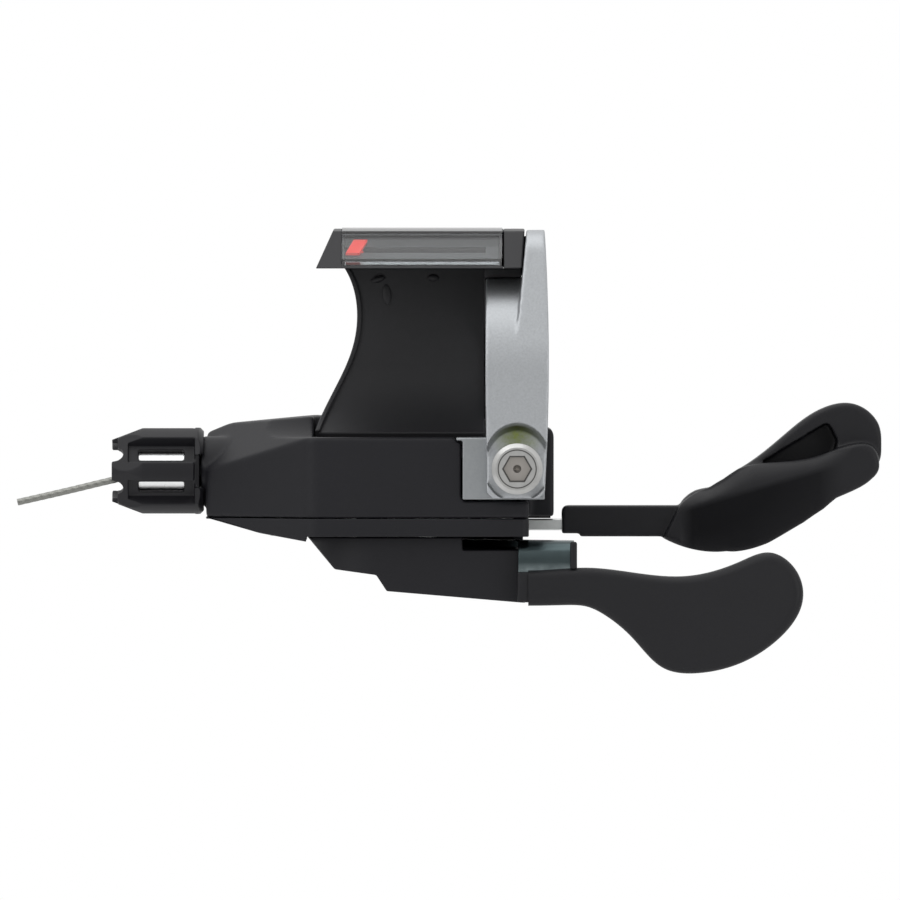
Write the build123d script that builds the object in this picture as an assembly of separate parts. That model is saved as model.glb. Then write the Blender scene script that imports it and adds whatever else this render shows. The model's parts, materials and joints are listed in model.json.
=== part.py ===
from build123d import *
from math import cos, radians, sin, tan
import os

# Handlebar and clamp band. The origin is the centre of the bar inside the band, +X runs outboard.
BAR_D = 22.2
BAR_GAP = 0.5              # radial room between the bar and the plastic
BAND_WIDTH = 10.2
BAND_WALL = 2.9
BAND_CROWN = 0.65          # how far the band's outboard side bulges at the bar's height
BAND_INNER_CROWN = 0.2
LEG_SPACE = 17.0           # room between the two legs of the band
LEG_WALL = 4.5             # leg thickness at its foot
LEG_LENGTH = 21.4          # foot of the legs below the bar's axis
LEG_FOOT_CUT = 1.0         # chamfer at the foot's corners
FIN_TOP = 21.8             # top of the fin above the bar's axis
FIN_FOOT = 2.4             # height at which the fin runs out in the band
FIN_WIDTH = 2.9            # along the bar, at the top
FIN_LEAN = 1.9             # how far the fin's inner face spreads towards its foot
FIN_FLAT = 19.0            # front-to-back length of the fin's top
FIN_ROUND = 5.0

# Clamp screw
BOLT_DROP = 16.6           # screw axis below the bar's axis
BOLT_D = 5.0
BOLT_HOLE_GAP = 0.15
BOLT_HEAD_D = 8.2
BOLT_HEAD_H = 3.9
BOLT_HEAD_CHAMFER = 0.65
BOLT_SOCKET_AF = 4.0
BOLT_SOCKET_DEPTH = 1.9
BOLT_RING_D = 6.1          # shallow dish in the head's face
BOLT_RING_DEPTH = 0.15
BOLT_DIMPLE_D = 1.3        # drill point in the socket's floor
BOLT_DIMPLE_DEPTH = 0.5
BOLT_TIP = 0.3             # screw end beyond the nut
SPOT_GAP = 1.2             # radial room between the head and the spot face's wall
SPOT_TILT = 30.0           # the spot face's relief leans up towards the rider
BOSS_LAND = 2.7            # leg left under the head
NUT_AF = 8.0
NUT_H = 3.4
NUT_LAND = 2.2             # rear leg left under the nut
NUT_GAP = 0.1

# Bracket and steel plate inside the housing
BRACKET_REACH = 3.7        # bracket beyond the band's inner side
BRACKET_DEPTH = 11.0       # front to back, beyond the band
BRACKET_LIP = 1.0
BRACKET_LIP_T = 0.5
LEG_FIT = 0.05             # gap between the bracket and each leg
BRACKET_BOTTOM = 21.6
FOOT_LENGTH = 6.2
FOOT_WIDTH = 6.4
FOOT_ROOM = 0.3
FOOT_Y = 0.8
PLATE_T = 1.4
PLATE_BOSS_R = 6.2
PLATE_SCREW_D = 3.0
PLATE_SCREW_HEAD_D = 5.4
PLATE_SCREW_HEAD_H = 1.2
PLATE_SCREW_LENGTH = 4.4

# Main axle and the stack of pieces on it, from the cable's height downwards
AXLE_X = -17.0
AXLE_D = 5.0
AXLE_FIT = 0.04            # running clearance on the axle
ADJUSTER_Y = 13.5          # cable and adjuster axis behind the bar's axis
CABLE_DROP = 17.2          # cable and adjuster axis below the bar's axis
SPOOL_H = 4.8
RATCHET_T = 2.8
PLATE_WASHER_T = 0.4
RELEASE_WASHER_T = 0.5
THUMB_WASHER_T = 1.1
STACK_GAP = 0.1            # end play on each side of a washer
RELEASE_T = 1.8
THUMB_T = 1.2
SPRING_SPACE = 3.0
AXLE_HEAD_D = 6.4
AXLE_HEAD_H = 1.9
AXLE_NUT_AF = 7.0
AXLE_NUT_H = 1.7
WASHER_D = 8.0

# Cable, spool and ratchet
CABLE_D = 1.1
SPOOL_PITCH_R = 8.5        # radius at which the cable lies on the spool
SPOOL_RIM = 1.0            # rim beyond the cable's pitch radius
GROOVE_GAP = 0.2           # room between the cable and the groove
SPOOL_HUB_R = 3.4
CUP_WALL = 1.4             # between the spring cup and the groove
CUP_DEPTH = 2.4
NIPPLE_D = 4.0
NIPPLE_H = 3.4
NIPPLE_GAP = 0.15
NIPPLE_ANGLE = -48.0
CABLE_WRAP_END = -65.0
RATCHET_TIP_R = 9.0
RATCHET_DEPTH = 1.1
RATCHET_TEETH = 20
TOOTH_FLANK = 1 / 6        # steep flank's share of a tooth's pitch
PAWL_GAP = 0.4             # pawl noses stand this far off the tooth tips

# Pawls
PAWL_T = 1.1
PAWL_HEAD_T = 0.35         # flat head of a pawl's pin
PAWL_EYE_R = 2.1
PAWL_NOSE_R = 0.6
PAWL_PIN_D = 2.0
PAWL_PIN_FIT = 0.04
PAWL_PIN_R = 12.8          # pin distance from the axle
PAWL_SPAN = 36.0           # angle from a pawl's pin to its nose
HOLD_PIN_ANGLE = 122.0
FEED_PIN_ANGLE = 215.0
FEED_ARM_R = 2.2

# Covers
COVER_WALL = 1.7
SEAM_GAP = 0.1
NOSE_X = -50.2
NOSE_WIDTH = 12.8
NOSE_TOP = 11.1            # these heights are depths below the bar's axis
SHOULDER_X = -46.3
SHOULDER_TOP = 9.5
HUMP_X = -32.6
HUMP_TOP = 8.3
BLOCK_X = 6.0
BLOCK_TOP = 10.3
BLOCK_ROUND = 1.3
COVER_RIGHT = 1.9
FRONT_Y = -8.0
BACK_Y = 39.0
FRONT_CORNER_X = -33.4
BACK_CORNER_X = -30.0
LOWER_GAP = 0.6            # lower cover above the thumb lever's sheet
LOWER_H = 3.0              # height of the lower cover's front
NOSE_BOTTOM_X = -41.5
NOSE_BOTTOM_RISE = 0.5
NOSE_CHIN_H = 1.2
CHIN_LIP = 0.8             # the chin reaches this far below the bottom cover's seam
CREASE_DROP = 17.0         # where the nose's upper facet starts
BAND_ROOM = 0.4            # recess behind the band and its screw
BRACKET_ROOM = 0.2         # recess round the bracket
RECESS_FLOOR_T = 1.0
CORNER_ROUND = 4.0
NOSE_ROUND = 1.8
RIGHT_ROUND = 1.2
BACK_ROUND = 9.0
BACK_TOP_ROUND = 7.0       # along the top of the back wall
NOSE_TOP_ROUND = 1.0
CHIN_ROUND = 8.0
SHOULDER_ROUND = 6.0
FACET_CREST = 3.0          # the facet reaches the crest this far behind the cable
TONGUE_ROOM = 0.6          # round the release lever's tongue where it leaves the housing

# Bottom cover
BOTTOM_LEFT_X = -33.9
BOTTOM_RIGHT_X = 1.4
BOTTOM_FRONT_Y = -5.2
BOTTOM_BACK_Y = 35.5
BOTTOM_ROUND = 11.0
BOTTOM_RIGHT_ROUND = 1.4
STEP_X = -29.4
STEP_H = 5.3
STEP_END_X = -22.7
STEP_FALL = 0.9
PAN_X = -21.0
PAN_ROOM = 0.4             # under the axle's head
PAN_FALL = 1.9             # slope of the pan along the bar
THUMB_SLOT_GAP = 0.35      # above and below the thumb lever's sheet
THUMB_SLOT_LEFT = -8.8
THUMB_SLOT_BACK = 27.0

# Cover screws
SCREW_D = 2.0
SCREW_HEAD_D = 3.6
SCREW_HEAD_H = 1.0
SCREW_LENGTH = 5.5
SCREW_GAP = 0.05
SCREW_POST_D = 4.6
SCREW_END_ROOM = 1.0        # screw hole beyond the screw's end
SCREW_PLACES = ((-38.0, 5.0), (-33.0, 27.0), (-6.0, 36.2))

# Thumb lever
THUMB_FLANGE_Y = -7.6
THUMB_FLANGE_LEFT = 0.2
THUMB_FLANGE_RIGHT = 9.2
THUMB_BEND_R = 3.0
THUMB_FLANGE_LENGTH = 8.2
THUMB_BOSS_R = 6.4
THUMB_SIDE_ANGLE = -135.0   # where the arm's inner side leaves the boss
THUMB_PAD_LEFT = 1.8
THUMB_PAD_OFFSET = 4.8     # pad's upper corner below the sheet
THUMB_PAD_SKIN = 1.3       # moulding in front of the flange
THUMB_PAD_DEPTH = 4.6
THUMB_PAD_SWEEP = 5.0      # how far the pad's end comes towards the rider
THUMB_PAD_ROUND = 1.3
# Pad outline from its upper left corner, as (along, up)
THUMB_OUTLINE = ((0, 0), (10.0, 0.4), (24.8, -0.95), (34.2, 1.5), (38.9, 2.9), (43.0, 0.2), (44.2, -4.4),
                 (39.8, -11.4), (27.7, -16.5), (22.1, -15.9), (16.4, -10.5), (11.1, -6.5), (0, -5.7))

# Release lever
RELEASE_SWING = 12.0
RELEASE_BOSS_R = 5.6
TONGUE_WIDTH = 7.0
TONGUE_SINK = 9.0          # tongue inside the moulding
RELEASE_PAD_LEFT = 7.3
RELEASE_ARM_RISE = 2.2     # arm's top above the tongue
LEVER_GAP = 0.3            # release arm above the thumb lever's sheet
RELEASE_ARM_STEP = 0.5
RELEASE_ARM_STEP_X = 3.0
RELEASE_ARM_ROUND = 1.0    # upper corner at the arm's inner end
RELEASE_ARM_DEPTH = 8.4
PADDLE_DEPTH = 11.6
PADDLE_SHIFT = 1.6         # paddle behind the arm
PADDLE_SWEEP = 2.4         # how far the paddle's end bends away from the rider
FRONT_WALL = 4.2           # raised wall on the rider's side
FRONT_WALL_ROUND = 0.8
BACK_WALL = 8.0            # tall wall behind it
BACK_WALL_ROUND = 0.9
POCKET_DEPTH = 5.2
POCKET_ROUND = 0.8
# Outlines of the paddle's two walls from the arm's upper left corner, as (along, up)
FRONT_OUTLINE = ((19.2, 0.2), (22.0, 2.6), (31.0, 6.6), (42.0, 8.2), (50.0, 9.4), (51.2, 6.6), (44.0, 1.0),
                 (28.0, -7.2), (16.5, -5.3))
BACK_OUTLINE = ((19.2, 0.2), (21.0, 2.2), (27.0, 5.0), (36.0, 11.3), (43.0, 16.0), (47.5, 16.4), (51.4, 12.4),
                (51.4, 7.4), (48.0, 3.6), (40.0, -1.0), (30.0, -5.0), (19.2, -5.0))
# Corners of the pocket between the walls
POCKET_OUTLINE = ((31.0, 6.2), (43.2, 13.6), (44.8, 10.4), (43.0, 5.0), (36.0, 4.0))

# Gear display
STEM_GAP = 1.3             # between the bar and the stem
STEM_WALL = 2.4
STEM_START = -62.0         # angle about the bar at which the stem leaves the housing
STEM_BAND_GAP = 0.1        # between the stem and the band's side
STEM_FLAP_REACH = 1.2      # thin flap behind the band
STEM_FLAP_T = 0.5
STEM_FLAP_GAP = 0.15
STEM_FLAP_LOW = 9.0
HOOD_FRONT = -2.0          # rib under the display, over the band
HOOD_GAP = 0.1
STEM_SEAT_GAP = 0.1
STEM_RIM_W = 0.8           # raised rim along the left edge
STEM_RIM_T = 0.5
# Left edge of the stem, as (along the bar, height above it)
STEM_EDGE = ((-32.7, -10.9), (-29.5, -4.0), (-26.5, 3.0), (-25.9, 9.5), (-26.6, 12.9), (-28.5, 16.5))
TRAY_LEFT = -32.4
TRAY_TOP_LEFT = -29.5
TRAY_RIGHT = 0.8
TRAY_LIFT = 4.5            # display's underside above the bar
TRAY_FRONT = -9.4
TRAY_BROW_Y = -4.9         # where the sloping front meets the crowned top
TRAY_BROW_H = 6.0
TRAY_CROWN_H = 6.4
TRAY_REAR_H = 3.8
TRAY_WALL = 0.9
END_CAP_LENGTH = 3.0
END_CAP_LEAN = 0.45        # the cap's end follows the fin's slope
LENS_T = 1.2
LENS_FIT = 0.05
LENS_LEDGE = 0.45          # ledge under the pane's ends
LENS_RISE = 0.45           # lower edge of the pane above the tray's underside
WINDOW_LEFT = -28.2
WINDOW_RIGHT = -2.4
LENS_BACK = 4.5
DIAL_T = 0.6
DIAL_FIT = 0.1             # dial plate to the tray's ends
NEEDLE_W = 2.2
NEEDLE_T = 0.6
NEEDLE_GAP = 0.35
NEEDLE_LEFT = -27.6
NEEDLE_LEAN = 1.3
NEEDLE_LENGTH = 2.7        # up the slope
NEEDLE_LOW = 3.9
NEEDLE_STEM = 0.5
NEEDLE_TRAVEL = 20.0
DIAL_LOW = 3.5
DIAL_HIGH = 7.7

# Barrel adjuster
KNOB_LEFT = -65.5
KNOB_RIGHT = -50.6
KNOB_D = 14.6
KNOB_LOBES = 6
KNOB_NOSE_R = 5.4          # lobe tips at the cable end
KNOB_NOSE_LENGTH = 5.0
KNOB_NOSE_DIP = 0.55       # how far the tip's curve lies inside the lobe at half its length
KNOB_NOTCH = 1.9
KNOB_NOTCH_W = 2.3
KNOB_FLUTE_W = 3.0
KNOB_FLUTE_FLARE = 0.9     # each flank of a flute spreads by this much
KNOB_FLUTE_R = 5.2
KNOB_FLUTE_START = 2.6
KNOB_FLUTE_END = 1.4
KNOB_WALL = 0.9
KNOB_TURN = 90.0           # a lobe faces the rider
KNOB_LOBE_W = 5.4
KNOB_STAGGER = 1.0         # every other lobe starts this much short
KNOB_END_STAGGER = 1.6     # and the rest end this much short
KNOB_WINDOW_LENGTH = 7.3
KNOB_WINDOW_START = 4.4
KNOB_WINDOW_W = 1.9
CORE_R = 4.55
CORE_GAP = 0.05
CORE_LEFT_SETBACK = 2.2
THREAD_D = 6.0
THREAD_LENGTH = 8.0
THREAD_FIT = 0.05
SEAT_D = 5.2               # seat for the cable's casing
SEAT_DEPTH = 7.5
CABLE_HOLE_D = 2.2
COLLAR_R = 5.6             # collar of the nose inside the knob's end
COLLAR_LENGTH = 0.8
COLLAR_GAP = 0.3

# Springs
SPRING_WIRE = 0.7
THUMB_SPRING_R = 3.2
THUMB_SPRING_TURNS = 3.0
RELEASE_SPRING_R = 1.8
RELEASE_SPRING_TURNS = 2.0
RELEASE_POST_R = 1.2
RELEASE_POST_DISTANCE = 10.5
RELEASE_POST_ANGLE = 45.0
RELEASE_POST_LENGTH = 2.4
SPOOL_STRIP_T = 0.35
SPOOL_STRIP_H = 1.6
SPOOL_STRIP_TURNS = 2
STRIP_GAP = 0.4            # between the strip and the cup or hub

# Free end of the cable, from inside the adjuster to the cut end
CABLE_TAIL = ((-58.5, -17.2), (-65.5, -18.7), (-73.2, -20.6), (-80.8, -22.3))

# Values that follow from the sizes above
BAR_R = BAR_D / 2
BAND_R = BAR_R + BAND_WALL
BAND_LEFT = -BAND_WIDTH / 2
BAND_RIGHT = BAND_WIDTH / 2
LEG_IN = LEG_SPACE / 2
LEG_OUT = LEG_IN + LEG_WALL
TROUGH_R = BAR_R + BAR_GAP
STEM_IN_R = BAR_R + STEM_GAP
STEM_OUT_R = STEM_IN_R + STEM_WALL
STEM_RIGHT = BAND_LEFT - STEM_BAND_GAP
TRAY_BOTTOM = BAR_R + TRAY_LIFT
TRAY_BROW = TRAY_BOTTOM + TRAY_BROW_H
TRAY_CROWN = TRAY_BOTTOM + TRAY_CROWN_H
TRAY_REAR = TRAY_BOTTOM + TRAY_REAR_H
TRAY_BACK = STEM_OUT_R
BOLT_SEAT_Y = -(LEG_IN + BOSS_LAND)
NUT_SEAT_Y = LEG_IN + NUT_LAND
BOLT_END_Y = NUT_SEAT_Y + NUT_H + BOLT_TIP
AXLE_R = AXLE_D / 2
AXLE_HOLE_R = AXLE_R + AXLE_FIT
CABLE_Y = ADJUSTER_Y
AXLE_Y = CABLE_Y + SPOOL_PITCH_R
CABLE_Z = -CABLE_DROP
SPOOL_TOP = CABLE_Z + SPOOL_H / 2
RATCHET_TOP = SPOOL_TOP - SPOOL_H
RATCHET_BOTTOM = RATCHET_TOP - RATCHET_T
PLATE_TOP = RATCHET_BOTTOM - PLATE_WASHER_T - 2 * STACK_GAP
PLATE_BOTTOM = PLATE_TOP - PLATE_T
RELEASE_TOP = PLATE_BOTTOM - RELEASE_WASHER_T - 2 * STACK_GAP
RELEASE_BOTTOM = RELEASE_TOP - RELEASE_T
THUMB_TOP = RELEASE_BOTTOM - THUMB_WASHER_T - 2 * STACK_GAP
THUMB_BOTTOM = THUMB_TOP - THUMB_T
AXLE_HEAD_TOP = THUMB_BOTTOM - SPRING_SPACE
LOWER_DROP = -THUMB_TOP - LOWER_GAP
PARTING_DROP = LOWER_DROP - LOWER_H
NOSE_BOTTOM_DROP = LOWER_DROP - NOSE_BOTTOM_RISE
NOSE_CHIN_DROP = PARTING_DROP + NOSE_CHIN_H
STEP_DROP = LOWER_DROP + STEP_H
STEP_END_DROP = STEP_DROP + STEP_FALL
PAN_DROP = AXLE_HEAD_H - AXLE_HEAD_TOP + PAN_ROOM + COVER_WALL
PAN_END_DROP = PAN_DROP + PAN_FALL
RELEASE_ARM_TOP = -RELEASE_TOP - RELEASE_ARM_RISE
THUMB_FLANGE_DROP = THUMB_FLANGE_LENGTH - THUMB_TOP
THUMB_PAD_TOP = THUMB_PAD_OFFSET - THUMB_TOP
TIER_T = RATCHET_T / 2
FAR = 200.0                # longer than any piece, for cutting blocks
SWEEP_MIDDLE = 0.25        # share of a pad's sweep that it has half-way along
ARC_SHARE = 0.45           # share of the shorter run that a cable bend takes up


def polar(radius, angle):
    """Point at a radius and an angle (degrees) about the main axle, in plan."""
    return (AXLE_X + radius * cos(radians(angle)), AXLE_Y + radius * sin(radians(angle)))


def face_of(points, radius=0.0):
    """Closed face through points, with one corner radius or a list of them."""
    radii = radius if isinstance(radius, (list, tuple)) else [radius] * len(points)
    if any(radii):
        return make_face(FilletPolyline(*points, radius=list(radii), close=True))
    return make_face(Polyline(*points, close=True))


def front_prism(face, y_low, y_high):
    """Extrude a face drawn in (X, Z) from y_low to y_high."""
    plane = Plane(origin=(0, y_high, 0), x_dir=(1, 0, 0), z_dir=(0, -1, 0))
    return extrude(plane * face, amount=y_high - y_low)


def side_prism(face, x_low, x_high):
    """Extrude a face drawn in (Y, Z) from x_low to x_high."""
    plane = Plane(origin=(x_low, 0, 0), x_dir=(0, 1, 0), z_dir=(1, 0, 0))
    return extrude(plane * face, amount=x_high - x_low)


def plan_prism(face, z_low, z_high):
    """Extrude a face drawn in (X, Y) from z_low to z_high."""
    return Pos(0, 0, z_low) * extrude(face, amount=z_high - z_low)


def block(low, high):
    """Box between two corners."""
    size = [b - a for a, b in zip(low, high)]
    middle = [(a + b) / 2 for a, b in zip(low, high)]
    return Pos(*middle) * Box(*size)


def rod(radius, start, end):
    """Round bar between two points."""
    axis = Vector(*end) - Vector(*start)
    return Plane(origin=start, z_dir=axis) * extrude(Circle(radius), amount=axis.length)


def upright(radius, place, z_low, z_high):
    """Vertical round bar at a place in plan."""
    return rod(radius, (*place, z_low), (*place, z_high))


def disc(place, radius):
    """Filled circle at a place in the plane it is drawn in."""
    return Pos(*place) * Circle(radius)


def arm(place_a, radius_a, place_b, radius_b):
    """Flat link outline: two round eyes and the straight sides between them."""
    eyes = disc(place_a, radius_a) + disc(place_b, radius_b)
    return make_hull(eyes.edges())


def swept_prism(outline, left, right, front, depth, sweep):
    """Part of a front outline inside a band in plan that starts at front and bends by sweep to its end."""
    middle = ((left + right) / 2, front + sweep * SWEEP_MIDDLE)
    near = Spline((left, front), middle, (right, front + sweep))
    far = near.moved(Pos(0, depth))
    band = make_face(near + Line(near @ 1, far @ 1) + far + Line(far @ 0, near @ 0))
    return front_prism(outline, -FAR, FAR) & plan_prism(band, -FAR, FAR)


AXLE = (AXLE_X, AXLE_Y)


def clamp_band():
    """Cast band: ring, two legs, a fin on the outboard half and the spot-faced boss."""
    legs = face_of([(-BAND_R, 0), (-LEG_OUT, -LEG_LENGTH), (LEG_OUT, -LEG_LENGTH), (BAND_R, 0)])
    ring = Circle(BAND_R) + legs - Circle(BAR_R)
    ring -= Pos(0, -FAR / 2) * Rectangle(LEG_SPACE, FAR)
    band = side_prism(ring, BAND_LEFT, BAND_RIGHT)
    corner_y = FIN_FLAT / 2 - FIN_ROUND
    corners = [disc((y, FIN_TOP - FIN_ROUND), FIN_ROUND) for y in (-corner_y, corner_y)]
    rounds = [edge for shape in (Circle(BAND_R), *corners) for edge in shape.edges()]
    fin_side = make_hull(rounds) - Circle(BAR_R)
    fin_left = BAND_RIGHT - BAND_CROWN - FIN_WIDTH
    fin_front = face_of([(fin_left, FIN_TOP), (BAND_RIGHT, FIN_TOP), (BAND_RIGHT, FIN_FOOT),
                         (fin_left - FIN_LEAN, FIN_FOOT)])
    band += side_prism(fin_side, BAND_LEFT, BAND_RIGHT) & front_prism(fin_front, -FAR, FAR)
    outer = BAND_RIGHT - BAND_CROWN
    inner = BAND_LEFT + BAND_INNER_CROWN
    cut_z = LEG_FOOT_CUT - LEG_LENGTH
    barrel = make_face(
        ThreePointArc((outer, FIN_TOP), (BAND_RIGHT, 0), (outer, cut_z))
        + Polyline((outer, cut_z), (outer - LEG_FOOT_CUT, -LEG_LENGTH), (inner + LEG_FOOT_CUT, -LEG_LENGTH),
                   (inner, cut_z))
        + ThreePointArc((inner, cut_z), (BAND_LEFT, 0), (inner, FIN_TOP))
        + Line((inner, FIN_TOP), (outer, FIN_TOP)))
    band &= front_prism(barrel, -FAR, FAR)
    spot_r = BOLT_HEAD_D / 2 + SPOT_GAP
    axis_z = -BOLT_DROP
    relief_top = axis_z + FAR * tan(radians(SPOT_TILT))
    relief = rod(spot_r, (0, BOLT_SEAT_Y - FAR, relief_top), (0, BOLT_SEAT_Y, axis_z))
    band -= relief & block((-FAR, -FAR, -FAR), (FAR, BOLT_SEAT_Y, FAR))
    band -= rod(spot_r, (0, -FAR, axis_z), (0, BOLT_SEAT_Y, axis_z))
    band -= rod(BOLT_D / 2 + BOLT_HOLE_GAP, (0, -FAR, axis_z), (0, FAR, axis_z))
    nut_room = RegularPolygon(NUT_AF / 2 + NUT_GAP, 6, major_radius=False)
    return band - front_prism(Pos(0, axis_z) * nut_room, NUT_SEAT_Y, FAR)


def clamp_bolt():
    """Socket-head screw with a chamfered head and a hexagon socket."""
    head_r = BOLT_HEAD_D / 2
    face_y = BOLT_SEAT_Y - BOLT_HEAD_H
    floor_y = face_y + BOLT_SOCKET_DEPTH
    head = rod(head_r, (0, face_y, 0), (0, BOLT_SEAT_Y, 0))
    head = chamfer(head.edges().group_by(Axis.Y)[0], BOLT_HEAD_CHAMFER)
    socket = front_prism(RegularPolygon(BOLT_SOCKET_AF / 2, 6, major_radius=False),
                         face_y, floor_y)
    socket += rod(BOLT_RING_D / 2, (0, face_y, 0), (0, face_y + BOLT_RING_DEPTH, 0))
    dimple = Cone(BOLT_DIMPLE_D / 2, 0, BOLT_DIMPLE_DEPTH)
    socket += Pos(0, floor_y + BOLT_DIMPLE_DEPTH / 2, 0) * Rot(-90, 0, 0) * dimple
    shank = rod(BOLT_D / 2, (0, BOLT_SEAT_Y, 0), (0, BOLT_END_Y, 0))
    return Pos(0, 0, -BOLT_DROP) * (head - socket + shank)


def clamp_nut():
    """Hexagon nut in the rear leg, on the screw."""
    nut = front_prism(RegularPolygon(NUT_AF / 2, 6, major_radius=False), NUT_SEAT_Y, NUT_SEAT_Y + NUT_H)
    return Pos(0, 0, -BOLT_DROP) * (nut - rod(BOLT_D / 2, (0, 0, 0), (0, FAR, 0)))


FOOT_X = COVER_RIGHT - COVER_WALL - FOOT_ROOM - FOOT_LENGTH / 2
FOOT = (FOOT_X, FOOT_Y)
BRACKET_LEFT = BAND_LEFT - BRACKET_REACH


def base_bracket():
    """Silver bracket held between the legs, with a lip over the cover and a foot on the steel plate."""
    half = LEG_IN - LEG_FIT
    top = -TROUGH_R
    reach_back = -half + BRACKET_DEPTH
    body = block((BAND_LEFT, -half, -BRACKET_BOTTOM), (BAND_RIGHT - BAND_CROWN, half, top))
    body += block((BRACKET_LEFT, -half, -BRACKET_BOTTOM), (BAND_LEFT, reach_back, top))
    lip = block((BRACKET_LEFT - BRACKET_LIP, -half, top - BRACKET_LIP_T), (BRACKET_LEFT, reach_back, top))
    foot = block((FOOT_X - FOOT_LENGTH / 2, FOOT_Y - FOOT_WIDTH / 2, PLATE_TOP),
                 (FOOT_X + FOOT_LENGTH / 2, FOOT_Y + FOOT_WIDTH / 2, -BRACKET_BOTTOM))
    bracket = body + lip + foot - rod(TROUGH_R, (-FAR, 0, 0), (FAR, 0, 0))
    stem_room = rod(STEM_OUT_R + STEM_SEAT_GAP, (-FAR, 0, 0), (BAND_LEFT, 0, 0))
    bracket -= stem_room & block((-FAR, 0, -FAR), (0, FAR, FAR))
    bracket -= rod(BOLT_D / 2 + BOLT_HOLE_GAP, (0, -FAR, -BOLT_DROP), (0, FAR, -BOLT_DROP))
    screw_depth = PLATE_SCREW_LENGTH - PLATE_T
    return bracket - upright(PLATE_SCREW_D / 2, FOOT, PLATE_TOP - PLATE_T, PLATE_TOP + screw_depth)


def base_plate():
    """Steel plate: an eye round the axle, arms to the bracket, the holding pawl's pin and a spring post."""
    outline = arm(AXLE, PLATE_BOSS_R, FOOT, FOOT_WIDTH / 2)
    outline += arm(AXLE, PLATE_BOSS_R, polar(PAWL_PIN_R, HOLD_PIN_ANGLE), PAWL_EYE_R)
    outline += arm(AXLE, PLATE_BOSS_R, RELEASE_POST, RELEASE_POST_R + RELEASE_SPRING_R)
    outline -= disc(AXLE, AXLE_R) + disc(FOOT, PLATE_SCREW_D / 2)
    outline -= disc(polar(PAWL_PIN_R, HOLD_PIN_ANGLE), PAWL_PIN_D / 2)
    post = upright(RELEASE_POST_R, RELEASE_POST, PLATE_BOTTOM - RELEASE_POST_LENGTH, PLATE_BOTTOM)
    return plan_prism(outline, PLATE_BOTTOM, PLATE_TOP) + post


def plate_screw():
    """Pan-head screw from below through the plate into the bracket's foot."""
    head = upright(PLATE_SCREW_HEAD_D / 2, FOOT, PLATE_BOTTOM - PLATE_SCREW_HEAD_H, PLATE_BOTTOM)
    return head + upright(PLATE_SCREW_D / 2, FOOT, PLATE_BOTTOM, PLATE_BOTTOM + PLATE_SCREW_LENGTH)


def main_axle():
    """Axle with a riveting head below, which the plate, the levers and the spool turn on or sit on."""
    top = SPOOL_TOP + STACK_GAP + AXLE_NUT_H
    return (upright(AXLE_R, AXLE, AXLE_HEAD_TOP, top)
            + upright(AXLE_HEAD_D / 2, AXLE, AXLE_HEAD_TOP - AXLE_HEAD_H, AXLE_HEAD_TOP))


def axle_nut():
    """Hexagon nut that keeps the spool on the axle."""
    outline = Pos(*AXLE) * RegularPolygon(AXLE_NUT_AF / 2, 6, major_radius=False) - disc(AXLE, AXLE_R)
    low = SPOOL_TOP + STACK_GAP
    return plan_prism(outline, low, low + AXLE_NUT_H)


def washer(z_top, thickness):
    """Flat washer on the axle under z_top."""
    outline = disc(AXLE, WASHER_D / 2) - disc(AXLE, AXLE_R)
    return plan_prism(outline, z_top - thickness, z_top)


def coil(place, radius, z_low, z_high, turns):
    """Round-wire coil about a vertical axis."""
    height = z_high - z_low - SPRING_WIRE
    path = Helix(pitch=height / turns, height=height, radius=radius)
    section = Plane(origin=path @ 0, z_dir=path % 0) * Circle(SPRING_WIRE / 2)
    return Pos(*place, z_low + SPRING_WIRE / 2) * sweep(section, path=path)


def thumb_return_spring():
    """Torsion coil between the thumb lever and the axle's head."""
    return coil(AXLE, THUMB_SPRING_R, AXLE_HEAD_TOP + STACK_GAP, THUMB_BOTTOM - STACK_GAP, THUMB_SPRING_TURNS)


RELEASE_POST = polar(RELEASE_POST_DISTANCE, RELEASE_POST_ANGLE)


def release_return_spring():
    """Small torsion coil on the plate's post, beside the release lever."""
    low = PLATE_BOTTOM - RELEASE_POST_LENGTH
    return coil(RELEASE_POST, RELEASE_SPRING_R, low, PLATE_BOTTOM - STACK_GAP, RELEASE_SPRING_TURNS)


GROOVE_R = CABLE_D / 2 + GROOVE_GAP
CUP_R = SPOOL_PITCH_R - GROOVE_R - CUP_WALL
CUP_FLOOR = SPOOL_TOP - CUP_DEPTH


def spool_spring():
    """Flat spiral strip in the spool's cup, drawn as half turns of growing radius."""
    first = SPOOL_HUB_R + STRIP_GAP + SPOOL_STRIP_T / 2
    last = CUP_R - STRIP_GAP - SPOOL_STRIP_T / 2
    halves = 2 * SPOOL_STRIP_TURNS
    step = (last - first) / halves
    strip = Curve()
    for half in range(halves):
        radius = first + half * step
        side = 1 if half % 2 == 0 else -1
        centre = 0 if side > 0 else step
        reach = side * radius
        strip += ThreePointArc((centre + reach, 0), (centre, reach), (centre - reach, 0))
    return plan_prism(Pos(*AXLE) * trace(strip, SPOOL_STRIP_T), CUP_FLOOR + STACK_GAP,
                      CUP_FLOOR + STACK_GAP + SPOOL_STRIP_H)


NIPPLE = polar(SPOOL_PITCH_R, NIPPLE_ANGLE)
NIPPLE_LOW = CABLE_Z - NIPPLE_H / 2


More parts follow.
